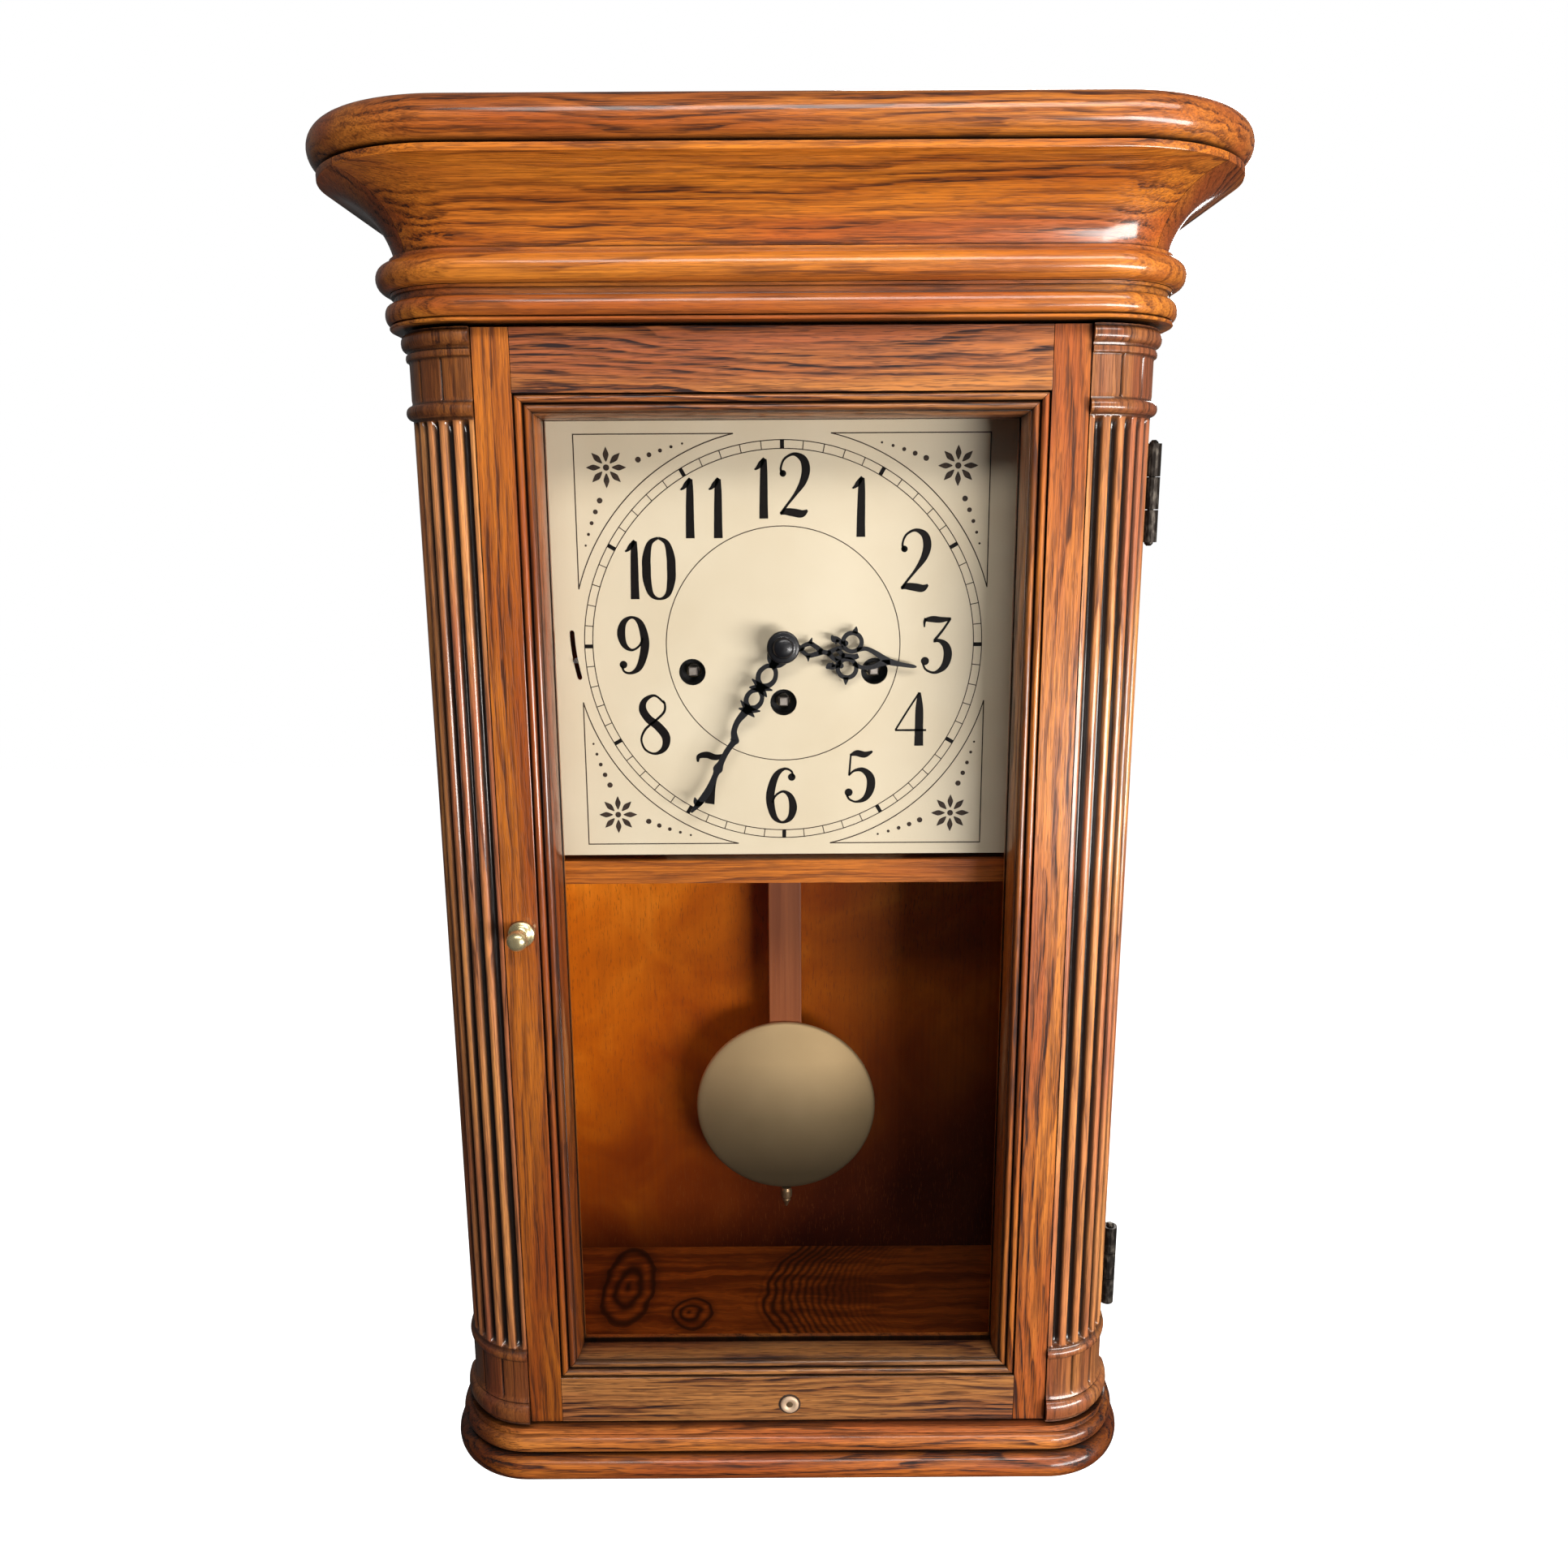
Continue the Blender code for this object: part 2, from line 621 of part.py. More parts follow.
def slot_outline(half_width, first_deg, last_deg, steps=8):
    """A curved slot with round ends about the chime lever's centre, as (x, z) points."""
    points = []
    for i in range(steps + 1):
        angle = math.radians(first_deg + (last_deg - first_deg) * i / steps)
        points.append(lever_point(LEVER_RADIUS + half_width, angle))
    for turn in (-1, 0, 1):
        points.append(slot_end(last_deg, half_width, turn, 1))
    for i in range(steps + 1):
        angle = math.radians(last_deg + (first_deg - last_deg) * i / steps)
        points.append(lever_point(LEVER_RADIUS - half_width, angle))
    for turn in (1, 0, -1):
        points.append(slot_end(first_deg, half_width, turn, -1))
    return points


def lever_point(radius, angle):
    """A point at a radius and angle about the chime lever's centre."""
    return (LEVER_CENTRE[0] + radius * math.cos(angle), LEVER_CENTRE[1] + radius * math.sin(angle))


def slot_end(degrees, half_width, turn, sense):
    """A point on the slot's round end; turn goes from -1 outside to 1 inside."""
    angle = math.radians(degrees)
    spread = turn * math.pi / 4
    radius = LEVER_RADIUS - half_width * math.sin(spread)
    return lever_point(radius, angle + sense * half_width * math.cos(spread) / LEVER_RADIUS)


def make_dial(mats):
    """The dial plate with its winding holes, centre hole and chime-lever slot."""
    outline = [(-126.0, 310.4), (126.0, 310.4), (126.0, 528.0), (-126.0, 528.0)]
    dial = flat_mesh(outline, (DIAL_Y, DIAL_Y + DIAL_THICKNESS))
    dial = add_object("dial_plate", dial, mats["dial_ivory"])
    through = (DIAL_Y - 3.0, DIAL_Y + 4.0)
    for name, point in WINDING_POINTS.items():
        add_cut(dial, "cut_winding_" + name, flat_mesh(circle(point, WINDING_HOLE_RADIUS, 24), through))
    add_cut(dial, "cut_centre", flat_mesh(circle((0.0, CENTRE_Z), 5.5, 20), through))
    add_cut(dial, "cut_lever_slot", flat_mesh(slot_outline(1.2, 181.5, 193.9), through))


def hand_outline(direction_deg, widths):
    """A hand's outline in (x, z); widths lists (distance from the centre, half width)."""
    angle = math.radians(90.0 - direction_deg)
    along = (math.cos(angle), math.sin(angle))
    across = (-along[1], along[0])
    edge = list(widths) + [(distance, -half) for distance, half in reversed(widths)]
    points = []
    for distance, half in edge:
        x = distance * along[0] + half * across[0]
        z = CENTRE_Z + distance * along[1] + half * across[1]
        points.append((x, z))
    return points


def minute_hand_widths():
    """A round hub, two swellings near it, a thin stem and a spear tip."""
    tip = MINUTE_HAND_LENGTH
    return [(-5.6, 1.6), (-4.0, 4.2), (0.0, 5.8), (4.0, 4.4), (8.5, 2.0), (13.0, 5.0), (17.5, 2.0),
            (23.0, 4.6), (28.5, 1.6), (32.0, 3.4), (36.0, 1.6), (tip - 34.0, 1.5), (tip - 21.0, 2.9),
            (tip - 6.0, 1.0), (tip, 0.5)]


def hour_hand_widths():
    """A round hub, a swelling, a wide pierced middle and a needle tip."""
    tip = HOUR_HAND_LENGTH
    return [(-5.6, 1.6), (-4.0, 4.2), (0.0, 5.8), (4.0, 4.4), (8.0, 1.6), (12.0, 4.0), (17.0, 1.2),
            (22.0, 5.0), (25.0, 10.5), (30.0, 12.0), (34.0, 9.5), (38.0, 4.0), (43.0, 3.6),
            (48.0, 1.4), (tip, 0.5)]


def make_hands(mats, minute, hour):
    """Hands, nut and the motion work that turns them at twelve to one."""
    black = mats["black_metal"]
    brass = mats["satin_brass"]
    centre = (0.0, CENTRE_Z)
    minute_hand = flat_mesh(hand_outline(MINUTE_HAND_DEG, minute_hand_widths()), (30.0, 31.2))
    add_object("minute_hand", minute_hand, black, minute)
    nut = [(1.2, 24.6), (4.2, 25.2), (6.2, 26.4), (7.2, 28.0), (7.25, 29.7)]
    add_object("hand_nut", turned(centre, nut, 20), black, minute, sharp_deg=50)
    cannon = [(2.6, 31.5), (2.6, 46.0), (4.0, 46.0), (4.0, 48.0), (2.6, 48.0), (2.6, 49.5)]
    add_object("cannon_pinion", turned(centre, cannon), brass, minute, sharp_deg=35)
    hour_hand = flat_mesh(hand_outline(HOUR_HAND_DEG, hour_hand_widths()), (34.4, 35.6))
    hour_hand = add_object("hour_hand", hour_hand, black, hour)
    add_cut(hour_hand, "cut_hour_hand_hub", flat_mesh(circle(centre, 3.0, 16), (32.0, 38.0)), hour)
    pipe = [(3.0, 35.9), (4.2, 35.9), (4.2, 43.2), (12.8, 43.2), (12.8, 44.4), (3.0, 44.4)]
    add_object("hour_wheel", turned(centre, pipe, 20, closed=True), brass, hour, sharp_deg=35)


def make_minute_wheel(mats, parent):
    """The wheel and pinion between the cannon pinion and the hour wheel."""
    profile = [(1.2, 42.4), (1.2, 43.0), (3.2, 43.0), (3.2, 45.0), (2.0, 45.0), (2.0, 46.0), (12.0, 46.0),
               (12.0, 48.0), (1.2, 48.0), (1.2, 49.7)]
    wheel = turned(MINUTE_WHEEL_ARBOR, profile, 18)
    add_object("minute_wheel", wheel, mats["satin_brass"], parent, sharp_deg=35)


def make_chime_lever(mats, parent):
    """A flat arm behind the dial whose tip comes through the curved slot."""
    angle = math.radians(189.3)
    along = (math.cos(angle), math.sin(angle))
    across = (-along[1], along[0])
    points = []
    for distance, half in ((-3.0, 1.2), (-1.2, 3.0), (1.2, 3.0), (4.0, 2.0), (95.0, 2.0), (98.4, 1.0)):
        points.append((distance, half))
    edge = points + [(distance, -half) for distance, half in reversed(points)]
    outline = []
    for distance, half in edge:
        x = LEVER_CENTRE[0] + distance * along[0] + half * across[0]
        z = LEVER_CENTRE[1] + distance * along[1] + half * across[1]
        outline.append((x, z))
    arm = flat_mesh(outline, (41.0, 42.2))
    lever = add_object("chime_lever", arm, mats["steel"], parent)
    tip = circle(lever_point(LEVER_RADIUS - 0.1, angle), 0.9, 8)
    add_union(lever, "join_lever_tip", flat_mesh(tip, (37.6, 41.6)), parent)


# ---------------------------------------------------------------- movement

def make_plates(mats):
    """The movement's two plates, with pillars on the back one, and the riser they stand on."""
    brass = mats["satin_brass"]
    half = PLATE_HALF_WIDTH
    outline = [(-half, PLATE_BOTTOM_Z), (half, PLATE_BOTTOM_Z), (half, PLATE_TOP_Z), (-half, PLATE_TOP_Z)]
    front_back = FRONT_PLATE_Y + PLATE_THICKNESS
    front = add_object("movement_front_plate", flat_mesh(outline, (FRONT_PLATE_Y, front_back)), brass)
    for name, point in WINDING_POINTS.items():
        hole = circle(point, 3.4, 16)
        add_cut(front, "cut_plate_" + name, flat_mesh(hole, (FRONT_PLATE_Y - 3.0, front_back + 3.0)))
    back_face = BACK_PLATE_Y + PLATE_THICKNESS
    back = add_object("movement_back_plate", flat_mesh(outline, (BACK_PLATE_Y, back_face)), brass)
    anchor_hole = flat_mesh(circle((0.0, PIVOT_Z), 1.8, 12), (BACK_PLATE_Y - 3.0, back_face + 3.0))
    add_cut(back, "cut_anchor_hole", anchor_hole)
    for side in (-1, 1):
        for z in (PLATE_BOTTOM_Z + 6.0, PLATE_TOP_Z - 6.0):
            profile = [(4.0, front_back + FIT_GAP), (4.0, BACK_PLATE_Y + 1.0)]
            pillar = turned((side * (half - 6.0), z), profile, 12)
            add_union(back, "join_pillar_%d_%d" % (side, z), pillar)
    riser = box_mesh((-58.0, 58.0), (front_back + 0.5, BACK_PLATE_Y - 0.5), (SEAT_TOP_Z + FIT_GAP, 339.7))
    add_object("movement_riser", riser, mats["bare_wood"])


def square_ring(centre, half, y):
    """Sixteen points on a square, to join a winding square to a round arbor."""
    ring = []
    for i in range(16):
        angle = TAU * i / 16
        reach = half / max(abs(math.cos(angle)), abs(math.sin(angle)))
        ring.append((centre[0] + reach * math.cos(angle), y, centre[1] + reach * math.sin(angle)))
    return ring


def make_winding(mats, name, parent_arbor, parent_barrel):
    """One spring barrel with its great wheel, and the winding arbor through it."""
    centre = WINDING_POINTS[name]
    rings = [square_ring(centre, 1.6, 41.7), square_ring(centre, 2.1, 42.4), square_ring(centre, 2.1, 48.5)]
    for radius, y in ((3.0, 48.5), (3.0, BACK_PLATE_Y - FIT_GAP)):
        rings.append([(x, y, z) for x, z in circle(centre, radius, 16)])
    add_object(name + "_winding_arbor", ring_solid(rings), mats["steel"], parent_arbor, sharp_deg=35)
    wheel = (24.4, 79.0) if name == "time" else (21.9, 76.5)
    profile = [(3.4, 57.0), (20.8, 57.0), (20.8, 76.0), (8.0, 76.0), (8.0, wheel[1]), (wheel[0], wheel[1]),
               (wheel[0], wheel[1] + 2.0), (3.4, wheel[1] + 2.0)]
    barrel = turned(centre, profile, 20, closed=True)
    add_object(name + "_barrel", barrel, mats["satin_brass"], parent_barrel, sharp_deg=35)


def make_train(mats, centre_parent, third_parent, escape_parent):
    """Centre wheel, third wheel and escape wheel, each on its arbor between the plates."""
    brass = mats["satin_brass"]
    rear = BACK_PLATE_Y - FIT_GAP
    front = FRONT_PLATE_Y + PLATE_THICKNESS + FIT_GAP
    centre = [(1.5, front), (1.5, 53.5), (20.4, 53.5), (20.4, 55.0), (1.5, 55.0), (1.5, 83.0), (3.2, 83.0),
              (3.2, 86.5), (1.5, 86.5), (1.5, rear)]
    add_object("centre_wheel", turned((0.0, CENTRE_Z), centre, 18), brass, centre_parent, sharp_deg=35)
    third = [(1.2, front), (1.2, 52.8), (2.8, 52.8), (2.8, 56.0), (1.2, 56.0), (1.2, 60.0), (14.6, 60.0),
             (14.6, 61.2), (1.2, 61.2), (1.2, rear)]
    add_object("third_wheel", turned(THIRD_ARBOR, third, 18), brass, third_parent, sharp_deg=35)
    rings = []
    teeth = 15
    for radius, y in ((1.2, front), (1.2, 59.0), (2.2, 59.0), (2.2, 62.0), (1.2, 62.0), (1.2, 68.0)):
        rings.append(escape_ring(radius, radius, y, teeth))
    rings.append(escape_ring(12.0, 10.0, 68.0, teeth))
    rings.append(escape_ring(12.0, 10.0, 69.0, teeth))
    rings.append(escape_ring(1.2, 1.2, 69.0, teeth))
    rings.append(escape_ring(1.2, 1.2, rear, teeth))
    add_object("escape_wheel", ring_solid(rings), brass, escape_parent, sharp_deg=35)


def escape_ring(tip_radius, root_radius, y, teeth):
    """A ring with one tip and one root point for each tooth of the escape wheel."""
    ring = []
    for i in range(teeth):
        for part, radius in ((0.0, root_radius), (0.7, tip_radius)):
            angle = TAU * (i + part) / teeth
            x = ESCAPE_ARBOR[0] + radius * math.cos(angle)
            z = ESCAPE_ARBOR[1] + radius * math.sin(angle)
            ring.append((x, y, z))
    return ring


def make_anchor(mats, parent):
    """Pallet anchor, its arbor through the back plate, and the crutch that holds the pendulum."""
    profile = [(1.2, FRONT_PLATE_Y + PLATE_THICKNESS + FIT_GAP), (1.2, 99.2)]
    anchor = turned((0.0, PIVOT_Z), profile, 12)
    anchor = add_object("pallet_anchor", anchor, mats["steel"], parent, sharp_deg=35)
    arms = [(0.0, 4.0), (3.6, 2.4), (12.6, -11.0), (12.2, -15.0), (9.8, -8.6), (0.0, -2.6), (-9.8, -8.6),
            (-12.2, -15.0), (-12.6, -11.0), (-3.6, 2.4)]
    outline = [(x, PIVOT_Z + z) for x, z in arms]
    add_union(anchor, "join_anchor_arms", flat_mesh(outline, (67.9, 69.1)), parent)
    strip = box_mesh((-2.5, 2.5), (98.6, 99.8), (401.0, 459.0))
    add_union(anchor, "join_crutch", strip, parent)
    bar = box_mesh((-6.2, 6.2), (98.7, 99.9), (400.6, 404.4))
    add_union(anchor, "join_crutch_bar", bar, parent)
    for side, name in ((-1, "left"), (1, "right")):
        prong = box_mesh(sorted((side * 3.6, side * 6.1)), (99.5, 113.0), (400.8, 404.2))
        add_union(anchor, "join_prong_" + name, prong, parent)


def make_suspension(mats):
    """A post on the back plate that carries the suspension spring above the pendulum."""
    post = box_mesh((-5.0, 5.0), (BACK_PLATE_Y + PLATE_THICKNESS + FIT_GAP, 112.0), (462.0, 468.5))
    post = add_object("suspension_post", post, mats["satin_brass"])
    add_union(post, "join_spring", box_mesh((-3.0, 3.0), (107.6, 108.4), (452.0, 463.0)))


def make_chimes(mats, hammer_parent):
    """Five chime rods in a cast block on the back panel, and the hammers that strike them."""
    rod_heights = [410.0 + 8.0 * i for i in range(5)]
    block = box_mesh((108.0, 128.0), (112.0, BACK_PANEL_Y - FIT_GAP), (402.0, 450.0))
    block = add_object("chime_rod_block", block, mats["steel"])
    for i, z in enumerate(rod_heights):
        reach = -100.0 + 8.0 * i
        rings = []
        for x in (reach, 112.0):
            rings.append([(x, 120.0 + dy, z + dz) for dy, dz in circle((0.0, 0.0), 1.4, 8)])
        add_union(block, "join_chime_rod_%d" % i, ring_solid(rings))
    hammers = turned_upright((-45.0, 101.0), [(1.6, 403.0), (1.6, 449.0)], 8)
    hammers = add_object("chime_hammers", hammers, mats["satin_brass"], hammer_parent)
    for i, z in enumerate(rod_heights):
        arm = box_mesh((-71.5, -44.0), (100.3, 101.7), (z - 0.8, z + 0.8))
        add_union(hammers, "join_hammer_arm_%d" % i, arm, hammer_parent)
        head = box_mesh((-76.0, -70.0), (99.0, 117.6), (z - 2.6, z + 2.6))
        add_union(hammers, "join_hammer_head_%d" % i, head, hammer_parent)


# ---------------------------------------------------------------- pendulum

def make_pendulum(mats, parent, nut_parent):
    """Hook, flat wooden stick, domed bob and the rating nut under it."""
    hook = box_mesh((-3.0, 3.0), (106.5, 109.5), (396.0, 451.6))
    add_object("pendulum_hook", hook, mats["satin_brass"], parent)
    stick = box_mesh((-9.0, 9.0), (PENDULUM_Y - 2.5, PENDULUM_Y + 2.5), (104.0, 395.7))
    add_object("pendulum_stick", stick, mats["stick_wood"], parent)
    profile = [(48.8, 105.2), (BOB_RADIUS, 104.4), (BOB_RADIUS, 102.8), (48.8, 101.8)]
    dome = 6.4
    for i in range(1, 5):
        radius = 48.8 * (1 - i / 4.2)
        profile.append((radius, 101.8 - dome * (1 - (radius / 48.8) ** 2)))
    add_object("pendulum_bob", turned((0.0, BOB_Z), profile, 32), mats["satin_brass"], parent, sharp_deg=30)
    nut = [(0.5, 83.6), (1.6, 86.4), (2.6, 88.8), (3.25, 90.4), (3.25, 94.0), (2.6, 95.6)]
    add_object("rating_nut", turned_upright((0.0, NUT_Y), nut, 14), mats["polished_brass"], nut_parent,
               sharp_deg=35)


def main():
    """Build the clock."""
    clear_scene()
    mats = make_materials()
    oak = mats["oak"]
    make_base(oak)
    make_case_boards(mats)
    make_crown(oak)
    door = joint_empty("door_axis", (HINGE_X, HINGE_Y, 284.0))
    make_door_frame(oak, door)
    make_columns(oak, door)
    make_glazing(mats, door)
    make_door_fittings(mats, door)
    make_hinges(mats["antique_hinge"], door)
    make_catch(mats, door)
    make_dial(mats)
    minute = joint_empty("minute_axis", (0.0, 40.0, CENTRE_Z))
    hour = joint_empty("hour_axis", (0.0, 40.0, CENTRE_Z))
    make_hands(mats, minute, hour)
    make_minute_wheel(mats, joint_empty("minute_wheel_axis", (MINUTE_WHEEL_ARBOR[0], 46.0, MINUTE_WHEEL_ARBOR[1])))
    make_chime_lever(mats, joint_empty("chime_lever_axis", (LEVER_CENTRE[0], 41.6, LEVER_CENTRE[1])))
    make_plates(mats)
    for name, point in WINDING_POINTS.items():
        arbor = joint_empty(name + "_arbor_axis", (point[0], 66.0, point[1]))
        barrel = joint_empty(name + "_barrel_axis", (point[0], 66.0, point[1]))
        make_winding(mats, name, arbor, barrel)
    make_train(
        mats,
        joint_empty("centre_axis", (0.0, 70.0, CENTRE_Z)),
        joint_empty("third_axis", (THIRD_ARBOR[0], 70.0, THIRD_ARBOR[1])),
        joint_empty("escape_axis", (ESCAPE_ARBOR[0], 70.0, ESCAPE_ARBOR[1])),
    )
    make_anchor(mats, joint_empty("anchor_axis", (0.0, 76.0, PIVOT_Z)))
    make_suspension(mats)
    make_chimes(mats, joint_empty("hammer_axis", (-45.0, 101.0, 426.0)))
    swing = joint_empty("pendulum_axis", (0.0, PENDULUM_Y, PIVOT_Z))
    make_pendulum(mats, swing, joint_empty("rating_nut_axis", (0.0, NUT_Y, 89.6)))


main()
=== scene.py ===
"""Looks of a key-wound pendulum wall clock in an oak case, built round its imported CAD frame.

Sizes are in millimetres and are turned into metres when a mesh is made. X runs to the
right, Y into the wall and Z up; Y = 0 is the face of the door and Z = 0 is the
underside of the base, as in the CAD source.
"""
import math

import bmesh
import bpy
from mathutils import Matrix, Vector


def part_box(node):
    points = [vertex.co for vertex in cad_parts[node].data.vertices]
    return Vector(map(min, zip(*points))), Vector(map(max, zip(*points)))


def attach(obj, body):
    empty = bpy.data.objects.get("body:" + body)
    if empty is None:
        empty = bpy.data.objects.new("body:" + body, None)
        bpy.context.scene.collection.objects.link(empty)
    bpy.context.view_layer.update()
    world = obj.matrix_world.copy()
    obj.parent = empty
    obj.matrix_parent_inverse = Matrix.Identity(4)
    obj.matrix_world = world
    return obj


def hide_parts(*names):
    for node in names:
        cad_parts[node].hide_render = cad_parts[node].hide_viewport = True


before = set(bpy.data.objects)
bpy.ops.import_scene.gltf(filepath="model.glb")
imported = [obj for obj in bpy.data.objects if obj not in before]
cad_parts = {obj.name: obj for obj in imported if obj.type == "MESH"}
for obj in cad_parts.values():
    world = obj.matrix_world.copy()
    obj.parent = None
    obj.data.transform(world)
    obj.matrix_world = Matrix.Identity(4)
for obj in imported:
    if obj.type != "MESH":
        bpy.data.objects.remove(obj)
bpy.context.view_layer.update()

MM = 0.001
TAU = 2 * math.pi
FACE_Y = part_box("door_stile_left")[0].y

# Plan of the case.
CORNER_X = 129.0
CORNER_Y = 32.0
CORNER_SEGMENTS = 28
CASE_BACK_Y = 136.0

# Dial.
DIAL_FACE_Y = 39.0
CENTRE_Z = 410.8
PRINT_THICKNESS = 0.05
PRINT_GAP = 0.03


# ---------------------------------------------------------------- node helpers

def node(tree, kind, inputs=None, **settings):
    """A shader node with its settings, and with values or sockets on its inputs."""
    made = tree.nodes.new("ShaderNode" + kind)
    for key, value in settings.items():
        setattr(made, key, value)
    for key, value in (inputs or {}).items():
        if isinstance(value, bpy.types.NodeSocket):
            tree.links.new(value, made.inputs[key])
        else:
            made.inputs[key].default_value = value
    return made


def maths(tree, operation, a, b=0.0, c=0.0, clamp=False):
    """The result of a Math node."""
    return node(tree, "Math", {0: a, 1: b, 2: c}, operation=operation, use_clamp=clamp).outputs[0]


def vector_maths(tree, operation, a, b):
    """The result of a Vector Math node."""
    made = node(tree, "VectorMath", {0: a, 1: b}, operation=operation)
    return made.outputs["Value" if operation in ("LENGTH", "DISTANCE") else "Vector"]


def mapped(tree, vector, scale, shift=(0.0, 0.0, 0.0), turn=(0.0, 0.0, 0.0)):
    """A vector scaled, turned and shifted."""
    made = node(tree, "Mapping", {"Vector": vector, "Location": shift, "Rotation": turn, "Scale": scale})
    return made.outputs[0]


def noise(tree, place, scale, detail=2.0, distortion=0.0):
    """The value of a noise texture over a place, stretched by a scale for each axis or by one for all."""
    stretch = scale if isinstance(scale, tuple) else (scale,) * 3
    vector = mapped(tree, place, stretch)
    inputs = {"Vector": vector, "Scale": 1.0, "Detail": detail, "Distortion": distortion}
    return node(tree, "TexNoise", inputs).outputs[0]


def sway(tree, place, scale, detail, reach):
    """A soft push in every direction, from a noise over a place."""
    field = node(tree, "TexNoise", {"Vector": mapped(tree, place, scale), "Scale": 1.0, "Detail": detail})
    return node(tree, "VectorMath", {0: field.outputs["Color"], 3: reach}, operation="SCALE").outputs[0]


def ramp(tree, value, stops):
    """A value turned into a colour or a grey by stops of (position, colour or grey)."""
    made = node(tree, "ValToRGB", {0: value})
    elements = made.color_ramp.elements
    while len(elements) < len(stops):
        elements.new(0.5)
    for element, (position, colour) in zip(elements, stops):
        element.position = position
        element.color = (*colour, 1.0) if isinstance(colour, tuple) else (colour, colour, colour, 1.0)
    return made.outputs[0]


def mix(tree, factor, a, b, blend_type="MIX"):
    """Two colours mixed."""
    first = (*a, 1.0) if isinstance(a, tuple) else a
    second = (*b, 1.0) if isinstance(b, tuple) else b
    made = node(tree, "Mix", {0: factor, 6: first, 7: second}, data_type="RGBA", blend_type=blend_type)
    return made.outputs[2]


def bump(tree, height, strength, distance_mm):
    """A normal bent by a height."""
    inputs = {"Height": height, "Strength": strength, "Distance": distance_mm * MM}
    return node(tree, "Bump", inputs).outputs[0]


def new_material(name, **constants):
    """A Principled material with constant values on the shader's own sockets."""
    material = bpy.data.materials.new(name)
    material.use_nodes = True
    shader = material.node_tree.nodes["Principled BSDF"]
    for key, value in constants.items():
        shader.inputs[key.replace("_", " ")].default_value = value
    return material, material.node_tree, shader


def wire(tree, shader, **sockets):
    """Link sockets to the shader's inputs."""
    for key, value in sockets.items():
        tree.links.new(value, shader.inputs[key.replace("_", " ")])


def grain_space(tree, axis="Z", shift=(0.0, 0.0, 0.0)):
    """Position in millimetres, turned so that the wood's grain runs along the third axis."""
    position = node(tree, "TexCoord").outputs["Object"]
    turns = {
        "X": (0.0, -math.pi / 2, 0.0),
        "Y": (math.pi / 2, 0.0, 0.0),
        "Z": (0.0, 0.0, 0.0),
    }
    return mapped(tree, position, (1 / MM,) * 3, shift, turns[axis])


# ---------------------------------------------------------------- materials

# The wave texture repeats every TAU / 20 of its own units.
WAVE_PERIOD = TAU / 20

OAK_LIGHT = (0.62, 0.190, 0.032)
OAK_MIDDLE = (0.40, 0.105, 0.014)
OAK_DARK = (0.16, 0.036, 0.006)
OAK_PORE = (0.022, 0.006, 0.003)
# Dark glaze with painted shade in the grooves shares one colour and one mesh layer; the other layer holds
# darker stain together with painted shade.
GLAZE_AND_SHADE_COLOUR = (0.012, 0.005, 0.003)
GLAZE_AND_SHADE_LAYER = "glaze_and_shade"
STAIN_AND_SHADE_LAYER = "stain_and_shade"

# The floor board's figure: the arch's tip and the knots are places on its upper face.
ARCH_TIP = (-13.5, 34.5)
ARCH_BEND = 0.009
ARCH_SPACING = 5.0
ARCH_CROWDING = 0.0008
PINE_KNOTS = ((-85.5, 45.0, 2.45, 7.0), (-48.5, 21.0, 1.3, 5.0))


def tinted(colour, factors):
    """A colour with each channel multiplied."""
    return tuple(c * f for c, f in zip(colour, factors))


